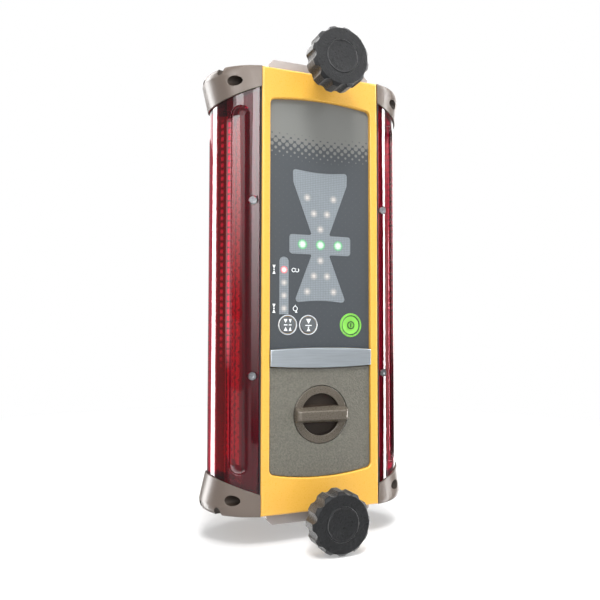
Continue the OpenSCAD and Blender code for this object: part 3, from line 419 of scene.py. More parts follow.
def spot_group():
    """Soft round spot of light on the front of a diffuser."""
    g, i, o = new_group("Light spot", [("Coordinates", VEC, None), ("Centre", VEC, None),
                                       ("Core", NUM, 0.001), ("Edge", NUM, 0.003)],
                        [("Mask", NUM)])
    sub = g.nodes.new("ShaderNodeVectorMath")
    sub.operation = "SUBTRACT"
    g.links.new(i.outputs[0], sub.inputs[0])
    g.links.new(i.outputs[1], sub.inputs[1])
    flat = g.nodes.new("ShaderNodeVectorMath")
    flat.operation = "MULTIPLY"
    flat.inputs[1].default_value = (1.0, 0.0, 1.0)
    g.links.new(sub.outputs[0], flat.inputs[0])
    far = g.nodes.new("ShaderNodeVectorMath")
    far.operation = "LENGTH"
    g.links.new(flat.outputs[0], far.inputs[0])
    g.links.new(ramp(g, far.outputs["Value"], i.outputs[2], i.outputs[3], 1.0, 0.0, smooth=True),
                o.inputs[0])
    return g


def fade_group():
    """Field of light dots that grow upwards between two heights until they close up."""
    g, i, o = new_group("Dot fade", [("Coordinates", VEC, None), ("Pitch", NUM, 0.006),
                                     ("Row pitch", NUM, 0.0055), ("Row start", NUM, 0.1152),
                                     ("Top", NUM, 0.1185), ("Bottom", NUM, 0.0945),
                                     ("Arc", NUM, 1.5)],
                        [("Mask", NUM)])
    least, most, blur = 0.0001, 0.0031, 0.00015  # radius of the dots and softness of their edge
    xyz = g.nodes.new("ShaderNodeSeparateXYZ")
    g.links.new(i.outputs[0], xyz.inputs[0])
    x, z = xyz.outputs[0], xyz.outputs[2]
    rise = maths(g, "SUBTRACT", z, i.outputs[3])
    reach = []
    for shift in (0.5, 1.0):
        legs = []
        for way, pitch in ((x, i.outputs[1]), (rise, i.outputs[2])):
            part = maths(g, "FRACT", maths(g, "ADD", maths(g, "DIVIDE", way, pitch), shift))
            leg = maths(g, "MULTIPLY", maths(g, "SUBTRACT", part, 0.5), pitch)
            legs.append(maths(g, "MULTIPLY", leg, leg))
        reach.append(maths(g, "SQRT", maths(g, "ADD", legs[0], legs[1])))
    near = maths(g, "MINIMUM", reach[0], reach[1])
    arc = maths(g, "MULTIPLY", maths(g, "MULTIPLY", x, x), i.outputs[6])
    radius = ramp(g, maths(g, "SUBTRACT", z, arc), i.outputs[5], i.outputs[4], least, most)
    g.links.new(ramp(g, maths(g, "SUBTRACT", radius, near), -blur, blur), o.inputs[0])
    return g


def grid_group():
    """Fine square grid of a pressed diffuser."""
    g, i, o = new_group("Fine grid", [("Coordinates", VEC, None), ("Pitch", NUM, 0.00135)],
                        [("Lines", NUM)])
    xyz = g.nodes.new("ShaderNodeSeparateXYZ")
    g.links.new(i.outputs[0], xyz.inputs[0])
    waves = []
    for axis in (0, 2):
        steps = maths(g, "DIVIDE", xyz.outputs[axis], i.outputs[1])
        waves.append(maths(g, "COSINE", maths(g, "MULTIPLY", steps, 2 * math.pi)))
    g.links.new(ramp(g, maths(g, "MAXIMUM", waves[0], waves[1]), 0.3, 1.0), o.inputs[0])
    return g


def cell_group():
    """Upright columns of cells beside a window's recess, in painted shade and light: blobs on a
    band, a strip, and dashes.
    """
    g, i, o = new_group("Cell columns", [("Coordinates", VEC, None), ("Pitch", NUM, 0.0049),
                                         ("Low", NUM, -0.060), ("High", NUM, 0.125)],
                        [("Band", NUM), ("Blobs", NUM), ("Strip", NUM), ("Dashes", NUM)])
    low_fade, high_fade = 0.030, 0.004  # length over which the cells end
    side_blur, wide_blur = 0.0003, 0.0004
    xyz = g.nodes.new("ShaderNodeSeparateXYZ")
    g.links.new(i.outputs[0], xyz.inputs[0])
    wide, depth, tall = maths(g, "ABSOLUTE", xyz.outputs[0]), xyz.outputs[1], xyz.outputs[2]
    step = maths(g, "FRACT", maths(g, "DIVIDE", tall, i.outputs[1]))
    beat = maths(g, "ABSOLUTE", maths(g, "SUBTRACT", step, 0.5))
    inside = maths(g, "MULTIPLY",
                   ramp(g, maths(g, "SUBTRACT", tall, i.outputs[2]), 0.0, low_fade),
                   ramp(g, maths(g, "SUBTRACT", i.outputs[3], tall), 0.0, high_fade))

    def column(rear, front, least, duty=None, blur=0.05, whole=False):
        """Mask between two distances from the front, from a least distance to the side."""
        rear, front = FRONT + rear, FRONT + front
        middle, half = (rear + front) / 2, (rear - front) / 2
        off = maths(g, "ABSOLUTE", maths(g, "SUBTRACT", depth, middle))
        mask = maths(g, "MULTIPLY", ramp(g, off, half - side_blur, half + side_blur, 1.0, 0.0),
                     ramp(g, wide, least, least + wide_blur))
        if duty:
            on = ramp(g, beat, duty / 2 - blur, duty / 2 + blur, 1.0, 0.0)
            mask = maths(g, "MULTIPLY", mask, on)
        return mask if whole else maths(g, "MULTIPLY", mask, inside)

    for place, mask in enumerate((column(0.0225, 0.0146, 0.0692, whole=True),
                                  column(0.0193, 0.0170, 0.0692, 0.50, 0.16),
                                  column(0.0146, 0.0118, 0.0668),
                                  column(0.0136, 0.0122, 0.0668, 0.74))):
        g.links.new(mask, o.inputs[place])
    return g


GROUPS = {}


def group(name):
    """One of the shared effects, built when it is first needed."""
    makers = {"Surface grain": grain_group, "Brushed lines": brush_group,
              "Light spot": spot_group, "Dot fade": fade_group, "Fine grid": grid_group,
              "Cell columns": cell_group}
    if name not in GROUPS:
        GROUPS[name] = makers[name]()
    return GROUPS[name]


def put(tree, name, coords, **values):
    """Places a shared effect in a material."""
    n = tree.nodes.new("ShaderNodeGroup")
    n.node_tree = group(name)
    tree.links.new(coords, n.inputs["Coordinates"])
    for key, v in values.items():
        n.inputs[key.replace("_", " ").capitalize()].default_value = v
    return n


def shades(base, spread):
    """A darker and a lighter shade of a colour."""
    return [tuple(min(1.0, max(0.0, c * k)) for c in base) for k in (1.0 - spread, 1.0 + spread)]


def blank(name):
    """A new material, its nodes, its shader and its Object coordinates."""
    m = bpy.data.materials.new(name)
    m.use_nodes = True
    tree = m.node_tree
    bsdf = tree.nodes["Principled BSDF"]
    coords = tree.nodes.new("ShaderNodeTexCoord").outputs["Object"]
    return m, tree, bsdf, coords


def bump(tree, bsdf, height, strength, distance):
    """Raises a surface by a mask."""
    n = tree.nodes.new("ShaderNodeBump")
    n.inputs["Strength"].default_value = strength
    n.inputs["Distance"].default_value = distance
    tree.links.new(height, n.inputs["Height"])
    tree.links.new(n.outputs[0], bsdf.inputs["Normal"])


def finish(name, base, rough, scale, tone, spread, strength, depth, metal=0.0, coat=0.0,
           specular=0.5, sheen=0.0, glow=0.0):
    """Plain moulded, painted or metal finish with grain, uneven gloss and fine bump; a glow, when
    given, is painted light.
    """
    m, tree, bsdf, coords = blank(name)
    g = put(tree, "Surface grain", coords, scale=scale)
    dark, light = shades(base, tone)
    fine = blend_colour(tree, g.outputs["Fine"], dark, light)
    cloudy = ramp(tree, g.outputs["Broad"], 0.0, 1.0, 0.0, 0.5)
    soft = blend_colour(tree, cloudy, fine, tuple(base))
    tree.links.new(soft, bsdf.inputs["Base Color"])
    glossy, dull = max(0.02, rough - spread), min(1.0, rough + spread)
    gloss = ramp(tree, g.outputs["Fine"], 0.0, 1.0, glossy, dull)
    tree.links.new(gloss, bsdf.inputs["Roughness"])
    bump(tree, bsdf, g.outputs["Fine"], strength, depth)
    bsdf.inputs["Metallic"].default_value = metal
    bsdf.inputs["Coat Weight"].default_value = coat
    bsdf.inputs["Coat Roughness"].default_value = 0.12
    bsdf.inputs["Specular IOR Level"].default_value = specular
    bsdf.inputs["Sheen Weight"].default_value = sheen
    bsdf.inputs["Sheen Roughness"].default_value = 0.4
    if glow:
        tree.links.new(soft, bsdf.inputs["Emission Color"])
        bsdf.inputs["Emission Strength"].default_value = glow
    return m


MATERIALS = {}


def material(name):
    """One of the plain finishes, made when it is first needed."""
    if name in MATERIALS:
        return MATERIALS[name]
    c = bpy.context.scene.receiver_colours
    # Colour, roughness, scale of the grain, spread of tone and gloss, bump's strength and depth
    plain = {
        "yellow_shell": (c.shell, 0.30, 900.0, 0.02, 0.05, 0.08, 0.00005),
        "taupe_cap": (c.cap, 0.33, 5000.0, 0.10, 0.05, 0.06, 0.00003),
        "door_plastic": (c.door, 0.52, 900.0, 0.36, 0.10, 0.6, 0.00022),
        # Darker taupe put into the hollows of the caps and the lock as painted shade
        "painted_shade_taupe": (paint("#2A221C"), 0.50, 1400.0, 0.20, 0.08, 0.30, 0.00012),
        "lock_plastic": (c.lock, 0.30, 1400.0, 0.10, 0.08, 0.25, 0.00012),
        "knob_plastic": (c.knob, 0.38, 800.0, 0.60, 0.12, 0.7, 0.00025),
        "key_grey": (c.key, 0.38, 1500.0, 0.08, 0.06, 0.15, 0.00006),
        "key_green": (c.power, 0.34, 1500.0, 0.04, 0.05, 0.10, 0.00005),
        "key_ring": (c.ring, 0.30, 3000.0, 0.04, 0.05, 0.05, 0.00002),
        "sign_white": (c.sign, 0.50, 4000.0, 0.03, 0.05, 0.05, 0.00002),
        # Dark green of the printed power sign, also painted shade in the power key's groove
        "dark_sign_and_shade": (paint("#1E3A1C"), 0.50, 4000.0, 0.05, 0.05, 0.05, 0.00002),
        "bracket_metal": (c.metal, 0.40, 1800.0, 0.06, 0.08, 0.20, 0.00008),
        "hook_metal": (paint("#3A3C3F"), 0.45, 1200.0, 0.10, 0.08, 0.35, 0.00015),
        "steel_fasteners": (paint("#A9ABAF"), 0.28, 3000.0, 0.06, 0.06, 0.08, 0.00003),
        "black_seal": (paint("#1B1B1D"), 0.72, 900.0, 0.15, 0.08, 0.30, 0.00015),
        "black_plastic": (paint("#1C1D20"), 0.50, 1500.0, 0.12, 0.08, 0.20, 0.00008),
        "circuit_board": (paint("#1E5A33"), 0.42, 700.0, 0.12, 0.08, 0.15, 0.00008),
        "white_light": (paint("#F3E6D2"), 0.20, 1500.0, 0.04, 0.04, 0.05, 0.00003),
        "green_light": (paint("#6FE08C"), 0.20, 1500.0, 0.04, 0.04, 0.05, 0.00003),
        "red_light": (paint("#E8504F"), 0.20, 1500.0, 0.04, 0.04, 0.05, 0.00003),
        "flat_cable": (paint("#B98F45"), 0.45, 1500.0, 0.08, 0.06, 0.10, 0.00005),
        "contact_brass": (paint("#C9A45A"), 0.30, 2500.0, 0.06, 0.06, 0.08, 0.00003),
        "cell_jacket": (paint("#B5872F"), 0.38, 900.0, 0.06, 0.06, 0.08, 0.00005),
        "glowing_cell_board": (paint("#8C2A35"), 0.45, 900.0, 0.15, 0.08, 0.15, 0.00008),
        "glowing_cell_lens": (paint("#FF7A80"), 0.18, 1500.0, 0.08, 0.05, 0.05, 0.00003),
    }
    special = {
        "taupe_cap": {"specular": 0.45}, "painted_shade_taupe": {"specular": 0.25},
        "lock_plastic": {"metal": 0.2, "specular": 0.7},
        "knob_plastic": {"specular": 0.28, "sheen": 0.5}, "key_ring": {"metal": 0.3},
        "bracket_metal": {"metal": 0.4}, "hook_metal": {"metal": 0.3},
        "steel_fasteners": {"metal": 1.0}, "contact_brass": {"metal": 1.0},
        # The cell boards and lens domes glow a little: painted light, as no lamp reaches them
        # behind the red glass.
        "cell_jacket": {"coat": 0.3}, "glowing_cell_board": {"glow": 0.04}, "glowing_cell_lens": {"glow": 0.2},
    }
    MATERIALS[name] = finish(name, *plain[name], **special.get(name, {}))
    return MATERIALS[name]


def panel_finish():
    """Printed film with the dot fade between light and dark grey."""
    c = bpy.context.scene.receiver_colours
    m, tree, bsdf, coords = blank("grey_panel")
    fade = put(tree, "Dot fade", coords)
    g = put(tree, "Surface grain", coords, scale=2500.0)
    ink = blend_colour(tree, fade.outputs["Mask"], tuple(c.panel_dark), tuple(c.panel_light))
    dark, light = shades((0.5, 0.5, 0.5), 0.06)
    tone = blend_colour(tree, g.outputs["Fine"], dark, light)
    tree.links.new(blend_colour(tree, 0.35, ink, tone, "OVERLAY"), bsdf.inputs["Base Color"])
    tree.links.new(ramp(tree, g.outputs["Fine"], 0.0, 1.0, 0.18, 0.24), bsdf.inputs["Roughness"])
    bump(tree, bsdf, g.outputs["Fine"], 0.05, 0.00003)
    return m


def lens_finish(name, spots):
    """Pressed diffuser with a fine grid and soft spots of light.

    Each spot is a place, the radii of its core and edge, their colours and its shine.
    """
    c = bpy.context.scene.receiver_colours
    m, tree, bsdf, coords = blank(name)
    lines = put(tree, "Fine grid", coords).outputs["Lines"]
    g = put(tree, "Surface grain", coords, scale=900.0)
    dark, light = shades(c.lens, 0.06)
    shade = blend_colour(tree, g.outputs["Fine"], dark, light)
    glow = (0.0, 0.0, 0.0)
    for place, core, edge, rim_colour, core_colour, shine in spots:
        rim = put(tree, "Light spot", coords, centre=place, core=core, edge=edge).outputs["Mask"]
        heart = put(tree, "Light spot", coords, centre=place, core=core * 0.25, edge=core * 1.15)
        lit = blend_colour(tree, heart.outputs["Mask"], rim_colour, core_colour)
        shade = blend_colour(tree, maths(tree, "MULTIPLY", rim, 0.9), shade, lit)
        if shine:
            dim = blend_colour(tree, shine, (0.0, 0.0, 0.0), lit)
            glow = blend_colour(tree, rim, glow, dim)
    line_colour = (0.03, 0.035, 0.04)
    shade = blend_colour(tree, maths(tree, "MULTIPLY", lines, 0.42), shade, line_colour)
    tree.links.new(shade, bsdf.inputs["Base Color"])
    if not isinstance(glow, tuple):
        tree.links.new(glow, bsdf.inputs["Emission Color"])
        bsdf.inputs["Emission Strength"].default_value = 1.0
    tree.links.new(ramp(tree, g.outputs["Fine"], 0.0, 1.0, 0.30, 0.40), bsdf.inputs["Roughness"])
    bump(tree, bsdf, lines, 0.25, 0.00015)
    return m


def bar_finish():
    """Brushed silver."""
    c = bpy.context.scene.receiver_colours
    m, tree, bsdf, coords = blank("silver_trim")
    lines = put(tree, "Brushed lines", coords, scale=1600.0).outputs["Lines"]
    dark, light = shades(c.bar, 0.10)
    tree.links.new(blend_colour(tree, lines, dark, light), bsdf.inputs["Base Color"])
    tree.links.new(ramp(tree, lines, 0.0, 1.0, 0.30, 0.42), bsdf.inputs["Roughness"])
    bump(tree, bsdf, lines, 0.08, 0.00004)
    bsdf.inputs["Metallic"].default_value = 0.7
    return m


def window_finish():
    """Clear red plastic with faint flow marks, and columns of cells painted on as shade and glow.
    """
    c = bpy.context.scene.receiver_colours
    m, tree, bsdf, coords = blank("red_window")
    g = put(tree, "Surface grain", coords, scale=250.0)
    cells = put(tree, "Cell columns", coords)
    dark, light = shades(c.window, 0.06)
    shade = blend_colour(tree, g.outputs["Broad"], dark, light)
    # A darker band as painted shade, with red blobs on it as painted highlights.
    band = tuple(v * 0.22 for v in c.window)
    shade = blend_colour(tree, cells.outputs["Band"], shade, band)
    shade = blend_colour(tree, cells.outputs["Blobs"], shade, (0.85, 0.02, 0.07))
    tree.links.new(shade, bsdf.inputs["Base Color"])
    # The blobs, strip and dashes glow: painted light for the cells seen through the glass.
    glow = (0.0, 0.0, 0.0)
    for part, light in (("Blobs", (0.10, 0.002, 0.008)), ("Strip", (0.13, 0.12, 0.12)),
                        ("Dashes", (0.75, 0.07, 0.12))):
        glow = blend_colour(tree, cells.outputs[part], glow, light)
    tree.links.new(glow, bsdf.inputs["Emission Color"])
    bsdf.inputs["Emission Strength"].default_value = 1.0
    tree.links.new(ramp(tree, g.outputs["Fine"], 0.0, 1.0, 0.02, 0.05), bsdf.inputs["Roughness"])
    bsdf.inputs["Transmission Weight"].default_value = 0.96
    bsdf.inputs["IOR"].default_value = 1.49
    return m


# Pieces

class ReceiverOperator(bpy.types.Operator):
    """What the operators share"""
    bl_options = {"REGISTER", "UNDO"}


# Name, place, size and watts of each lamp
LAMPS = (
    ("key_softbox", (-0.3, -1.0, 1.35), (0.45, 0.45), 22.0),
    ("left_softbox", (-1.1, -1.3, 0.9), (1.3, 1.3), 10.0),
    ("right_softbox", (1.3, -0.9, 0.5), (1.2, 1.4), 12.0),
    ("top_softbox", (0.1, -0.25, 1.7), (1.1, 1.1), 30.0),
)
# Name, turn, reach, width, lower and upper end, and the shine at these ends, of each card
CARDS = (
    ("front_high_card", 10.0, 1.2, 1.4, 0.85, 2.2, 3.0, 5.0),
    ("front_card", 12.0, 1.40, 0.72, -0.35, 0.75, 0.2, 12.0),
    ("left_front_card", 50.0, 1.45, 1.25, -0.2, 1.2, 0.4, 5.0),
    ("left_bright_card", 57.0, 1.35, 0.45, 0.0, 0.8, 0.3, 12.0),
    ("left_dark_card", 101.0, 1.5, 1.45, -1.2, 1.6, 0.3, 0.3),
    ("left_strip", 135.5, 1.2, 0.40, -0.9, 1.3, 13.0, 13.0),
    ("left_rear_dark_card", 178.0, 1.3, 1.56, -0.9, 0.5, 0.2, 0.2),
    ("left_rear_high_card", 178.0, 1.3, 1.56, 0.5, 1.7, 2.0, 3.5),
    ("right_strip", -71.0, 1.2, 0.12, -0.9, 1.3, 30.0, 30.0),
    ("right_dark_card", -97.0, 1.15, 0.62, -1.2, 1.6, 0.3, 0.3),
    ("right_front_dark_card", -54.0, 1.5, 0.6, -1.2, 1.6, 0.05, 0.05),
    ("right_front_card", -28.0, 1.4, 0.8, -0.3, 0.62, 0.05, 0.9),
    ("right_low_card", -28.0, 1.4, 0.8, -1.2, -0.3, 0.1, 0.1),
    ("right_rear_strip", -124.0, 1.2, 0.30, -0.9, 1.3, 5.0, 5.0),
)


class RECEIVER_OT_stage(ReceiverOperator):
    """Sets the camera, the floor and the light"""
    bl_idname = "receiver.stage"
    bl_label = "Stage"

    def execute(self, context):
        s = context.scene.receiver_stage
        only()
        bpy.ops.object.camera_add(location=tuple(s.place), rotation=tuple(s.turn))
        camera = bpy.context.active_object
        camera.data.lens = s.lens
        camera.data.sensor_width = 36.0
        camera.data.clip_start = 0.01
        bpy.context.scene.camera = camera
        bpy.context.scene.view_settings.view_transform = "Standard"
        self.floor()
        self.world(s.ambient)
        for row in LAMPS:
            self.lamp(*row)
        for row in CARDS:
            self.card(*row)
        return {"FINISHED"}

    def floor(self):
        """Pale floor that keeps a shadow near the object and runs out to white."""
        drop = 0.0005
        bpy.ops.mesh.primitive_plane_add(size=12.0, location=(0.0, 0.0, CAD_BOX[0][2] - drop))
        floor = bpy.context.active_object
        floor.name = "floor"
        near, wide, least = 0.25, 0.75, 0.32  # where white begins and is full, and its share before
        m, tree, bsdf, coords = blank("pale_floor")
        bsdf.inputs["Base Color"].default_value = (0.9, 0.9, 0.9, 1.0)
        bsdf.inputs["Roughness"].default_value = 0.9
        bsdf.inputs["Specular IOR Level"].default_value = 0.1
        glow = tree.nodes.new("ShaderNodeEmission")
        far = tree.nodes.new("ShaderNodeVectorMath")
        far.operation = "LENGTH"
        tree.links.new(coords, far.inputs[0])
        mix = tree.nodes.new("ShaderNodeMixShader")
        tree.links.new(ramp(tree, far.outputs["Value"], near, wide, least, 1.0), mix.inputs[0])
        tree.links.new(bsdf.outputs[0], mix.inputs[1])
        tree.links.new(glow.outputs[0], mix.inputs[2])
        tree.links.new(mix.outputs[0], tree.nodes["Material Output"].inputs["Surface"])
        dress(floor, m)
        floor.visible_glossy = False

    def world(self, ambient):
        """White where it is seen or mirrored, and dim where it lights."""
        w = bpy.data.worlds.new("studio")
        bpy.context.scene.world = w
        w.use_nodes = True
        tree = w.node_tree
        back = tree.nodes["Background"]
        back.inputs["Color"].default_value = (1.0, 1.0, 1.0, 1.0)
        path = tree.nodes.new("ShaderNodeLightPath")
        seen = maths(tree, "MAXIMUM", path.outputs["Is Camera Ray"], path.outputs["Is Glossy Ray"])
        seen = maths(tree, "MAXIMUM", seen, path.outputs["Is Transmission Ray"])
        tree.links.new(ramp(tree, seen, 0.0, 1.0, ambient, 1.0), back.inputs["Strength"])

    def lamp(self, name, place, size, watts):
        """Soft light that shades the piece and isn't mirrored in it."""
        bpy.ops.object.light_add(type="AREA", location=place)
        o = bpy.context.active_object
        o.name = name
        o.data.shape = "RECTANGLE"
        o.data.size, o.data.size_y = size
        o.data.energy = watts
        way = Vector((0.0, TARGET_Y, 0.0)) - Vector(place)
        o.rotation_euler = way.to_track_quat("-Z", "Y").to_euler()
        o.visible_glossy = False
        o.visible_camera = False

    def card(self, name, turn, reach, width, low, high, shine_low, shine_high):
        """Upright card that is only mirrored: its turn is counted from the front to the left."""
        a = math.radians(turn)
        place = (-math.sin(a) * reach, TARGET_Y - math.cos(a) * reach, (low + high) / 2)
        bpy.ops.mesh.primitive_plane_add(size=1.0, rotation=(UPRIGHT, 0.0, -a), location=place)
        o = bpy.context.active_object
        o.name = name
        o.scale = (width, high - low, 1.0)
        m = bpy.data.materials.new(name)
        m.use_nodes = True
        tree = m.node_tree
        tree.nodes.remove(tree.nodes["Principled BSDF"])
        glow = tree.nodes.new("ShaderNodeEmission")
        xyz = tree.nodes.new("ShaderNodeSeparateXYZ")
        tree.links.new(tree.nodes.new("ShaderNodeTexCoord").outputs["Object"], xyz.inputs[0])
        tree.links.new(ramp(tree, xyz.outputs[1], -0.5, 0.5, shine_low, shine_high, smooth=True),
                       glow.inputs["Strength"])
        tree.links.new(glow.outputs[0], tree.nodes["Material Output"].inputs["Surface"])
        dress(o, m)
        for side in ("camera", "diffuse", "transmission", "shadow", "volume_scatter"):
            setattr(o, "visible_" + side, False)


class RECEIVER_OT_covers(ReceiverOperator):
    """Rounds the two yellow covers and finishes their seal and screws"""
    bl_idname = "receiver.covers"
    bl_label = "Covers"

    def execute(self, context):
        sizes = context.scene.receiver_sizes
        front = soft_copy("front_cover", (sizes.rim_edge, 3, lambda p: p.y < FRONT + NEAR))
        dress(front, material("yellow_shell"))
        rear = soft_copy("rear_cover", (sizes.cover_edge, 2, lambda p: p.y > REAR - NEAR))
        dress(rear, material("yellow_shell"))
        dress_nodes(material("black_seal"), "cover_seal")
        dress_nodes(material("steel_fasteners"), "cover_screws", "board_screws")
        return {"FINISHED"}


def strip_lights():
    """Side, upper end and pitch of the four lights in the level strip."""
    low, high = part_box("level_lights")
    pitch = (high[2] - low[2] - 2 * LIGHT_RADIUS) / 3
    return (low[0] + high[0]) / 2, high[2] - LIGHT_RADIUS, pitch


class RECEIVER_OT_display(ReceiverOperator):
    """Finishes the panel, the arrow and the level strip"""
    bl_idname = "receiver.display"
    bl_label = "Display"

    def execute(self, context):
        dress_nodes(panel_finish(), "display_panel")
        warm, white = paint("#AFAEAD"), paint("#DED7D1")
        green, pale = paint("#3FAF66"), paint("#E6F8EA")
        red, rose = paint("#F0525C"), paint("#FFF1F0")
        low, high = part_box("centre_lights")
        arrow_z, gap = (low[2] + high[2]) / 2, high[0] - LIGHT_RADIUS
        low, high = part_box("arrow_lights")
        row = (high[2] - low[2] - 2 * LIGHT_RADIUS) / 6
        spread = (high[0] - LIGHT_RADIUS) / 2
        dim = (0.0016, 0.0037, warm, white, 0.0)
        spots = []
        for i in (1, 2, 3):
            for s in (-1, 1):
                for m in ((0,) if i == 1 else (-1, 1)):
                    spots.append(((m * spread * (i - 1), 0.0, arrow_z + s * row * i), *dim))
        for m in (-1, 0, 1):
            spots.append(((m * gap, 0.0, arrow_z), 0.0034, 0.0040, green, pale, 0.12))
        dress_nodes(lens_finish("arrow_diffuser", spots), "arrow_lens")
        x, top, pitch = strip_lights()
        spots = [((x, 0.0, top), 0.0024, 0.0029, red, rose, 0.3)]
        for i in (1, 2, 3):
            spots.append(((x, 0.0, top - pitch * i), 0.0015, 0.0032, warm, white, 0.0))
        dress_nodes(lens_finish("strip_diffuser", spots), "level_lens")
        dress_nodes(material("white_light"), "arrow_lights")
        dress_nodes(material("green_light"), "centre_lights")
        dress_nodes(material("red_light"), "level_lights")
        return {"FINISHED"}


class RECEIVER_OT_name_bar(ReceiverOperator):
    """Rounds and brushes the bare name bar"""
    bl_idname = "receiver.name_bar"
    bl_label = "Name bar"

    def execute(self, context):
        sizes = context.scene.receiver_sizes
        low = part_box("name_bar")[0][1]
        dress(soft_copy("name_bar", (sizes.bar_edge, 3, lambda p: p.y < low + NEAR)), bar_finish())
        return {"FINISHED"}


class RECEIVER_OT_keys(ReceiverOperator):
    """Models the key rings, rounds the keys and adds their signs"""
    bl_idname = "receiver.keys"
    bl_label = "Keys"

    def execute(self, context):
        sizes = self.sizes = context.scene.receiver_sizes
        ring_gap, ring_half = 0.0010, 0.00045
        silver = []
        for node in ("scale_key", "zero_key"):
            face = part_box(node)[0][1]
            cap = soft_copy(node, (sizes.key_edge, 3, lambda p, f=face: p.y < f + NEAR))
            dress(cap, material("key_grey"))
            x, z, r = self.middle(node)
            silver.append(self.ring(x, z, r + ring_gap, ring_half))
        rings = place_piece(join(silver), "small_key_rings", "housing")
        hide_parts("key_rings")
        dress(rings, material("key_ring"))
        self.power_cap()
        self.scale_sign()
        self.zero_sign()
        self.power_sign()
        self.strip_signs()
        return {"FINISHED"}

    def power_cap(self):
        """Green key whose disc is set off from its edge by a groove in painted shade, in a green
        surround.
        """
        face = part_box("power_key")[0][1]
        edge, groove = self.sizes.key_edge, self.sizes.groove_radius
        width, wall, deep, deepest = self.sizes.groove_width, 0.00004, 0.0005, 0.0006
        surround_gap, surround_half = 0.00055, 0.00042
        cap = soft_copy("power_key", (edge, 3, lambda p: p.y < face + NEAR))
        x, z, r = self.middle("power_key")
        only(cap)
        bpy.ops.object.mode_set(mode="EDIT")
        self.pick_front(cap, face, 0.0, r)
        bpy.ops.mesh.inset(thickness=r - edge - groove)
        bpy.ops.mesh.inset(thickness=width)
        self.pick_front(cap, face, groove - width, groove)
        bpy.ops.mesh.inset(thickness=wall, depth=-deep)
        bpy.ops.object.mode_set(mode="OBJECT")
        dress(cap, material("key_green"))
        cap.data.materials.append(material("dark_sign_and_shade"))
        # Faces in the groove take the dark sign colour: painted shade.
        for f in cap.data.polygons:
            far = math.hypot(f.center.x - x, f.center.z - z)
            if f.center.y < face + deepest and abs(far - groove + width / 2) < deep:
                f.material_index = 1
        surround = self.ring(x, z, r + surround_gap, surround_half)
        place_piece(surround, "power_key_surround", "housing")
        dress(surround, material("key_green"))

    def pick_front(self, piece, face, near, far):
        """Selects the faces in the key's front plane between two radii."""
        x, z, _ = self.middle("power_key")
        bm = unselected(piece)
        for f in bm.faces:
            rim = [math.hypot(v.co.x - x, v.co.z - z) for v in f.verts]
            flat = f.normal.y < -0.9 and all(abs(v.co.y - face) < SNUG for v in f.verts)
            f.select_set(flat and min(rim) >= near - SNUG and max(rim) <= far + SNUG)
        bmesh.update_edit_mesh(piece.data)

    def raise_sign(self, piece):
        """Settles a flat outline in its mesh and gives it thickness towards the back."""
        depth = self.sizes.sign_height + 0.0001
        only(piece)
        bpy.ops.object.transform_apply(location=True, rotation=True, scale=True)
        bpy.ops.object.mode_set(mode="EDIT")
        bpy.ops.mesh.select_all(action="SELECT")
        bpy.ops.mesh.extrude_region_move(TRANSFORM_OT_translate={"value": (0.0, depth, 0.0)})
        bpy.ops.mesh.select_all(action="SELECT")
        bpy.ops.mesh.normals_make_consistent(inside=False)
        bpy.ops.object.mode_set(mode="OBJECT")
        return piece

    def triangle(self, x, y, z, half, tall, up):
        """Triangle with its base at a height and its tip above or below."""
        lift = tall / 3 if up else -tall / 3
        unit_half, unit_tall = 0.8660254, 1.5  # of a triangle in a circle of radius 1
        bpy.ops.mesh.primitive_circle_add(vertices=3, radius=1.0, fill_type="NGON",
                                          location=(x, y - self.sizes.sign_height, z + lift),
                                          rotation=(UPRIGHT, 0.0 if up else math.pi, 0.0))
        piece = bpy.context.active_object
        piece.scale = (half / unit_half, tall / unit_tall, 1.0)
        return self.raise_sign(piece)

    def bar(self, x, y, z, wide, tall):
        """Rectangle round its middle."""
        bpy.ops.mesh.primitive_plane_add(size=1.0, location=(x, y - self.sizes.sign_height, z),
                                         rotation=(UPRIGHT, 0.0, 0.0))
        piece = bpy.context.active_object
        piece.scale = (wide, tall, 1.0)
        return self.raise_sign(piece)

    def hoop(self, x, y, z, radius, wide, cut=0.0):
        """Flat ring, open at its top when a cut is given."""
        bpy.ops.mesh.primitive_circle_add(vertices=48, radius=radius, fill_type="NGON",
                                          location=(x, y - self.sizes.sign_height, z),
                                          rotation=(UPRIGHT, 0.0, 0.0))
        piece = bpy.context.active_object
        bpy.ops.object.mode_set(mode="EDIT")
        bpy.ops.mesh.select_all(action="SELECT")
        bpy.ops.mesh.inset(thickness=wide)
        bpy.ops.mesh.delete(type="FACE")
        if cut:
            bm = bmesh.from_edit_mesh(piece.data)
            for f in bm.faces:
                middle = f.calc_center_median()
                f.select_set(middle.y > 0 and abs(middle.x) < cut)
            bmesh.update_edit_mesh(piece.data)
            bpy.ops.mesh.delete(type="FACE")
        bpy.ops.object.mode_set(mode="OBJECT")
        return self.raise_sign(piece)

    def sign(self, pieces, name, node, finish_name):
        """Joins the parts of a sign on a node and finishes them."""
        piece = place_piece(join(pieces), name, BODY_OF[node])
        dress(piece, material(finish_name))

    def scale_sign(self):
        """Two pairs of triangles, the left ones wider, with a bar between each pair."""
        x, z, _ = self.middle("scale_key")
        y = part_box("scale_key")[0][1]
        base, tall, bar_tall = 0.0043, 0.0029, 0.0007
        out = []
        for at, half in ((-0.0018, 0.00145), (0.0018, 0.0011)):
            out.append(self.triangle(x + at, y, z + base, half, tall, False))
            out.append(self.bar(x + at, y, z, half * 1.9, bar_tall))
            out.append(self.triangle(x + at, y, z - base, half, tall, True))
        self.sign(out, "scale_key_sign", "scale_key", "sign_white")

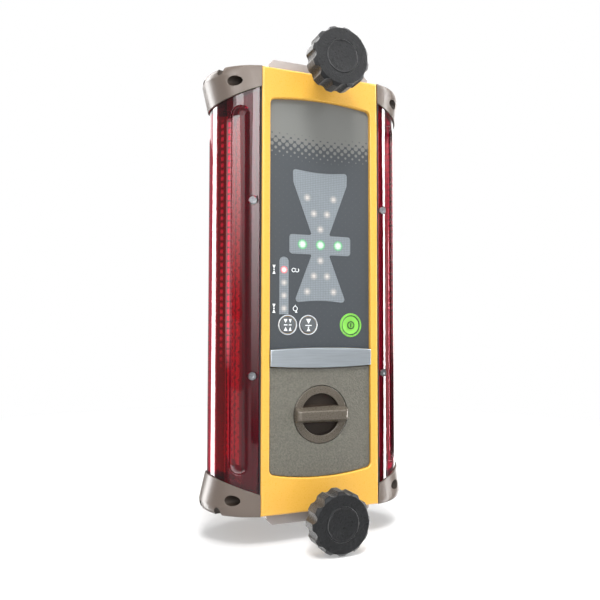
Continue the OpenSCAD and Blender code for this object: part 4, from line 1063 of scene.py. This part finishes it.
    def zero_sign(self):
        """A triangle on a long bar, over a short bar and a smaller triangle."""
        x, z, _ = self.middle("zero_key")
        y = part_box("zero_key")[0][1]
        base = 0.0045
        out = [self.triangle(x, y, z + base, 0.0019, 0.0036, False),
               self.bar(x, y, z - 0.0003, 0.0052, 0.0006),
               self.bar(x, y, z - 0.0016, 0.0011, 0.0008),
               self.triangle(x, y, z - base, 0.0015, 0.0024, True)]
        self.sign(out, "zero_key_sign", "zero_key", "sign_white")

    def power_sign(self):
        """A ring with an upright bar in it."""
        x, z, _ = self.middle("power_key")
        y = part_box("power_key")[0][1]
        radius, line = 0.0030, 0.0007
        out = [self.hoop(x, y, z, radius, line), self.bar(x, y, z, line, radius)]
        self.sign(out, "power_key_sign", "power_key", "dark_sign_and_shade")

    def strip_signs(self):
        """Small signs beside both ends of the level strip."""
        _, top, pitch = strip_lights()
        low_z = top - 3 * pitch
        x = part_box("level_lens")[0][0] - 0.0030
        base, half, tall, dot = 0.0033, 0.0012, 0.0027, 0.0009
        out = []
        for z in (top, low_z):
            out.append(self.triangle(x, PANEL, z + base, half, tall, False))
            out.append(self.triangle(x, PANEL, z - base, half, tall, True))
            out.append(self.bar(x, PANEL, z, dot, dot))
        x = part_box("level_lens")[1][0] + 0.0040
        line, head, tip = 0.0005, 0.0010, 0.0017
        out.append(self.hoop(x - 0.0013, PANEL, top, 0.0016, line))
        out.append(self.hoop(x + 0.0014, PANEL, top, 0.0016, line, cut=0.0008))
        out.append(self.hoop(x, PANEL, low_z, 0.0019, line))
        out.append(self.triangle(x, PANEL, low_z + 0.0013, head, tip, True))
        out.append(self.triangle(x + 0.0008, PANEL, low_z - 0.0030, head, tip, True))
        self.sign(out, "strip_signs", "display_panel", "sign_white")

    def middle(self, node):
        """Centre and radius of a key's cap, which is narrower than its flange."""
        flange = 0.001
        low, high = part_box(node)
        radius = (high[0] - low[0]) / 2 - flange
        return (low[0] + high[0]) / 2, (low[2] + high[2]) / 2, radius

    def ring(self, x, z, r, half):
        """Round rimmed ring: a torus cut off at its back and drawn out into the panel."""
        cut, root = (x, PANEL + 0.0002, z), (0.0, 0.0010, 0.0)
        only()
        bpy.ops.mesh.primitive_torus_add(major_segments=72, minor_segments=16, major_radius=r,
                                         minor_radius=half, location=(x, PANEL, z),
                                         rotation=(UPRIGHT, 0.0, 0.0))
        ring = bpy.context.active_object
        bpy.ops.object.transform_apply(location=True, rotation=True, scale=True)
        bpy.ops.object.mode_set(mode="EDIT")
        bpy.ops.mesh.select_all(action="SELECT")
        bpy.ops.mesh.bisect(plane_co=cut, plane_no=(0, 1, 0), clear_outer=True, use_fill=False)
        bpy.ops.mesh.select_all(action="DESELECT")
        bpy.ops.mesh.select_non_manifold()
        bpy.ops.mesh.extrude_region_move(TRANSFORM_OT_translate={"value": root})
        bpy.ops.mesh.select_all(action="SELECT")
        bpy.ops.mesh.normals_make_consistent(inside=False)
        bpy.ops.object.mode_set(mode="OBJECT")
        bpy.ops.object.shade_smooth_by_angle(angle=math.radians(40))
        return ring


class RECEIVER_OT_windows(ReceiverOperator):
    """Rounds the red windows and finishes the sensors behind them"""
    bl_idname = "receiver.windows"
    bl_label = "Windows"

    def execute(self, context):
        sizes = context.scene.receiver_sizes
        glass = window_finish()
        for s in ("left", "right"):
            dress(soft_copy("window_" + s, (sizes.window_edge, 3, self.off_line)), glass)
            dress_nodes(material("glowing_cell_board"), "sensor_board_" + s)
            dress_nodes(material("black_plastic"), "sensor_frame_" + s)
            dress_nodes(material("glowing_cell_lens"), "photodiodes_" + s)
            self.domes(s, sizes.cell_pitch)
        dress_nodes(material("black_seal"), "window_gaskets")
        dress_nodes(material("steel_fasteners"), "window_screws")
        return {"FINISHED"}

    def off_line(self, p):
        """True away from the thin line along the window's front edge."""
        return p.y > FRONT + LINE_DEPTH or not LINE_INNER < abs(p.x) < LINE_OUTER

    def domes(self, side, pitch):
        """Two columns of lens domes on the light cells: one dome, set out in a row and copied."""
        radius, inset, sunk = 0.0019, 0.0035, 0.0001
        low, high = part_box("photodiodes_" + side)
        out = -1.0 if side == "left" else 1.0
        face = low[0] if side == "left" else high[0]
        count = int((high[2] - low[2]) / pitch)
        first = (low[2] + high[2]) / 2 - pitch * (count - 1) / 2
        only()
        bpy.ops.mesh.primitive_uv_sphere_add(segments=10, ring_count=6, radius=radius,
                                             location=(face, low[1] + inset, first),
                                             rotation=(0.0, math.radians(90), 0.0))
        dome = bpy.context.active_object
        dome.scale = (1.0, 1.4, 0.8)
        bpy.ops.object.transform_apply(location=True, rotation=True, scale=True)
        bpy.ops.object.mode_set(mode="EDIT")
        bpy.ops.mesh.select_all(action="SELECT")
        bpy.ops.mesh.bisect(plane_co=(face - out * sunk, 0, 0), plane_no=(out, 0, 0),
                            clear_inner=True, use_fill=True)
        bpy.ops.object.mode_set(mode="OBJECT")
        row = dome.modifiers.new("row", "ARRAY")
        row.use_relative_offset = False
        row.use_constant_offset = True
        row.constant_offset_displace = (0.0, 0.0, pitch)
        row.count = count
        bpy.ops.object.modifier_apply(modifier="row")
        bpy.ops.object.mode_set(mode="EDIT")
        bpy.ops.mesh.select_all(action="SELECT")
        across = (0.0, high[1] - low[1] - 2 * inset, 0.0)
        bpy.ops.mesh.duplicate_move(TRANSFORM_OT_translate={"value": across})
        bpy.ops.object.mode_set(mode="OBJECT")
        bpy.ops.object.shade_smooth_by_angle(angle=math.radians(50))
        place_piece(dome, "lens_domes_" + side, "housing")
        dress(dome, material("glowing_cell_lens"))


class RECEIVER_OT_end_caps(ReceiverOperator):
    """Rounds the four end caps, paints shade into their screw wells and notches, and finishes their
    screws
    """
    bl_idname = "receiver.end_caps"
    bl_label = "End caps"

    def execute(self, context):
        sizes = context.scene.receiver_sizes
        for e in ("top", "bottom"):
            for s in ("left", "right"):
                self.cap("end_cap_%s_%s" % (e, s), sizes)
        dress_nodes(material("steel_fasteners"), "cap_screws")
        return {"FINISHED"}

    def cap(self, node, sizes):
        """One cap: its notches keep their edges and the rims of its wells stay crisp."""
        low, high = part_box(node)
        out = 1.0 if high[0] > 0 else -1.0
        end = high[2] if high[2] > 0 else low[2]
        inward = -1.0 if end > 0 else 1.0
        wells = [(y, end + inward * sizes.well_end)
                 for y in (FRONT + sizes.well_front, REAR - sizes.well_rear)]
        middle = Vector((out * sizes.cap_centre, (FRONT + REAR) / 2, end))
        upward = Vector((0.0, 0.0, -inward * math.cos(NOTCH_LEAN)))
        notches, axes = [], []
        for a in NOTCH_TURNS:
            way = Vector((out * math.sin(a), -math.cos(a), 0.0))
            notches.append(middle + way * (REAR - FRONT) / 2)
            axes.append(way * -math.sin(NOTCH_LEAN) + upward)

        def off_well(p):
            return min(math.hypot(p.y - y, p.z - z) for y, z in wells)

        def off_notch(p):
            return min((p - n).cross(axis).length for n, axis in zip(notches, axes))

        def outer(p):
            return (off_well(p) > WELL_ROUND and abs(p.x) > joint
                    and min((p - n).length for n in notches) > NOTCH_KEEP)

        joint = min(abs(low[0]), abs(high[0])) + 0.0003
        piece = soft_copy(node, (sizes.cap_edge, 3, outer),
                          (sizes.cap_edge * 0.4, 2, lambda p: off_well(p) < WELL_RIM))
        dress(piece, material("taupe_cap"))
        piece.data.materials.append(material("painted_shade_taupe"))
        # Faces inside the screw wells and notches take the darker taupe: painted shade.
        for f in piece.data.polygons:
            if (off_well(f.center) < WELL_INSIDE
                    or off_notch(f.center) < sizes.notch_radius + SNUG):
                f.material_index = 1


class RECEIVER_OT_clamps(ReceiverOperator):
    """Rounds brackets and hooks and finishes pads, studs and washers"""
    bl_idname = "receiver.clamps"
    bl_label = "Mast clamps"

    def execute(self, context):
        sizes = context.scene.receiver_sizes
        for e in ("top", "bottom"):
            dress(soft_copy("bracket_" + e, (sizes.metal_edge, 2, None)), material("bracket_metal"))
            dress(soft_copy("clamp_hook_" + e, (sizes.metal_edge, 3, None)), material("hook_metal"))
            dress_nodes(material("black_seal"), "hook_pad_" + e)
            dress_nodes(material("steel_fasteners"), "clamp_stud_" + e)
        dress_nodes(material("black_seal"), "saddle_pads")
        dress_nodes(material("steel_fasteners"), "bracket_screws", "knob_washers")
        return {"FINISHED"}


class RECEIVER_OT_knobs(ReceiverOperator):
    """Rounds the two clamp knobs and their discs"""
    bl_idname = "receiver.knobs"
    bl_label = "Clamp knobs"

    def execute(self, context):
        sizes = context.scene.receiver_sizes
        disc_edge = 0.0002
        for e in ("top", "bottom"):
            node = "clamp_knob_" + e
            low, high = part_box(node)
            face, z = low[1], (low[2] + high[2]) / 2
            rim = (high[0] - low[0]) / 2 - sizes.knob_rim

            def flute(p):
                return (FLUTE_START < p.y - face < FLUTE_END
                        and math.hypot(p.x, p.z - z) > rim)

            knob = soft_copy(node, (sizes.knob_edge, 3, flute), sharp=22.0)
            dress(knob, material("knob_plastic"))
            disc = soft_copy("knob_disc_" + e, (disc_edge, 2, None), sharp=40.0)
            dress(disc, material("knob_plastic"))
        return {"FINISHED"}


class RECEIVER_OT_cassette(ReceiverOperator):
    """Rounds the battery door and finishes the cassette"""
    bl_idname = "receiver.cassette"
    bl_label = "Battery cassette"

    def execute(self, context):
        sizes = context.scene.receiver_sizes
        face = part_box("battery_door")[0][1]
        door = soft_copy("battery_door", (sizes.door_edge, 3, lambda p: p.y < face + NEAR),
                         smooth=10.0, front=face)
        dress(door, material("door_plastic"))
        dress_nodes(material("black_seal"), "door_seal")
        dress_nodes(material("black_plastic"), "battery_tray", "battery_bay")
        dress_nodes(material("cell_jacket"), "battery_cells")
        dress_nodes(material("steel_fasteners"), "contact_springs")
        dress_nodes(material("contact_brass"), "bay_contacts")
        return {"FINISHED"}


class RECEIVER_OT_lock(ReceiverOperator):
    """Rounds the turning lock, paints shade into its dish and finishes its tongue"""
    bl_idname = "receiver.lock"
    bl_label = "Lock"

    def execute(self, context):
        sizes = context.scene.receiver_sizes
        low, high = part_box("lock_knob")
        z = (low[2] + high[2]) / 2
        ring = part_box("battery_door")[0][1]

        def handle(p):
            return p.y < ring - 0.0006

        def ring_edge(p):
            return abs(p.y - ring) < 0.0004 and abs(p.z - z) > HANDLE_HALF

        lock = soft_copy("lock_knob", (sizes.lock_edge, 3, handle),
                         (sizes.lock_edge * 0.6, 3, ring_edge))
        dress(lock, material("lock_plastic"))
        lock.data.materials.append(material("painted_shade_taupe"))
        # Faces of the dish take the darker taupe: painted shade.
        for f in lock.data.polygons:
            far = math.hypot(f.center.x, f.center.z - z)
            deep = DISH_TOP < f.center.y - ring < DISH_FLOOR
            if deep and far < sizes.dish_radius + 0.0001:
                f.material_index = 1
        dress_nodes(material("steel_fasteners"), "lock_tongue", "lock_screw")
        return {"FINISHED"}


class RECEIVER_OT_boards(ReceiverOperator):
    """Finishes the main board, its switches and the flat cables"""
    bl_idname = "receiver.boards"
    bl_label = "Boards"

    def execute(self, context):
        dress_nodes(material("circuit_board"), "main_board")
        dress_nodes(material("black_plastic"), "key_switches")
        dress_nodes(material("flat_cable"), "flex_cables")
        return {"FINISHED"}


OPERATORS = (RECEIVER_OT_stage, RECEIVER_OT_covers, RECEIVER_OT_display, RECEIVER_OT_name_bar,
             RECEIVER_OT_keys, RECEIVER_OT_windows, RECEIVER_OT_end_caps, RECEIVER_OT_clamps,
             RECEIVER_OT_knobs, RECEIVER_OT_cassette, RECEIVER_OT_lock, RECEIVER_OT_boards)


class RECEIVER_PT_panel(bpy.types.Panel):
    """Lists the pieces of the receiver"""
    bl_idname = "RECEIVER_PT_panel"
    bl_label = "Laser receiver"
    bl_space_type = "VIEW_3D"
    bl_region_type = "UI"
    bl_category = "Receiver"

    def draw(self, context):
        for o in OPERATORS:
            self.layout.operator(o.bl_idname, text=o.bl_label)


CLASSES = (ReceiverSizes, ReceiverColours, ReceiverStage) + OPERATORS + (RECEIVER_PT_panel,)


def register():
    for c in CLASSES:
        bpy.utils.register_class(c)
    bpy.types.Scene.receiver_sizes = bpy.props.PointerProperty(type=ReceiverSizes)
    bpy.types.Scene.receiver_colours = bpy.props.PointerProperty(type=ReceiverColours)
    bpy.types.Scene.receiver_stage = bpy.props.PointerProperty(type=ReceiverStage)


def unregister():
    for name in ("receiver_stage", "receiver_colours", "receiver_sizes"):
        delattr(bpy.types.Scene, name)
    for c in reversed(CLASSES):
        bpy.utils.unregister_class(c)


def main():
    """Makes the pieces in order."""
    register()
    bpy.ops.receiver.stage()
    bpy.ops.receiver.covers()
    bpy.ops.receiver.display()
    bpy.ops.receiver.name_bar()
    bpy.ops.receiver.keys()
    bpy.ops.receiver.windows()
    bpy.ops.receiver.end_caps()
    bpy.ops.receiver.clamps()
    bpy.ops.receiver.knobs()
    bpy.ops.receiver.cassette()
    bpy.ops.receiver.lock()
    bpy.ops.receiver.boards()
    bpy.context.view_layer.update()


if __name__ == "__main__":
    main()
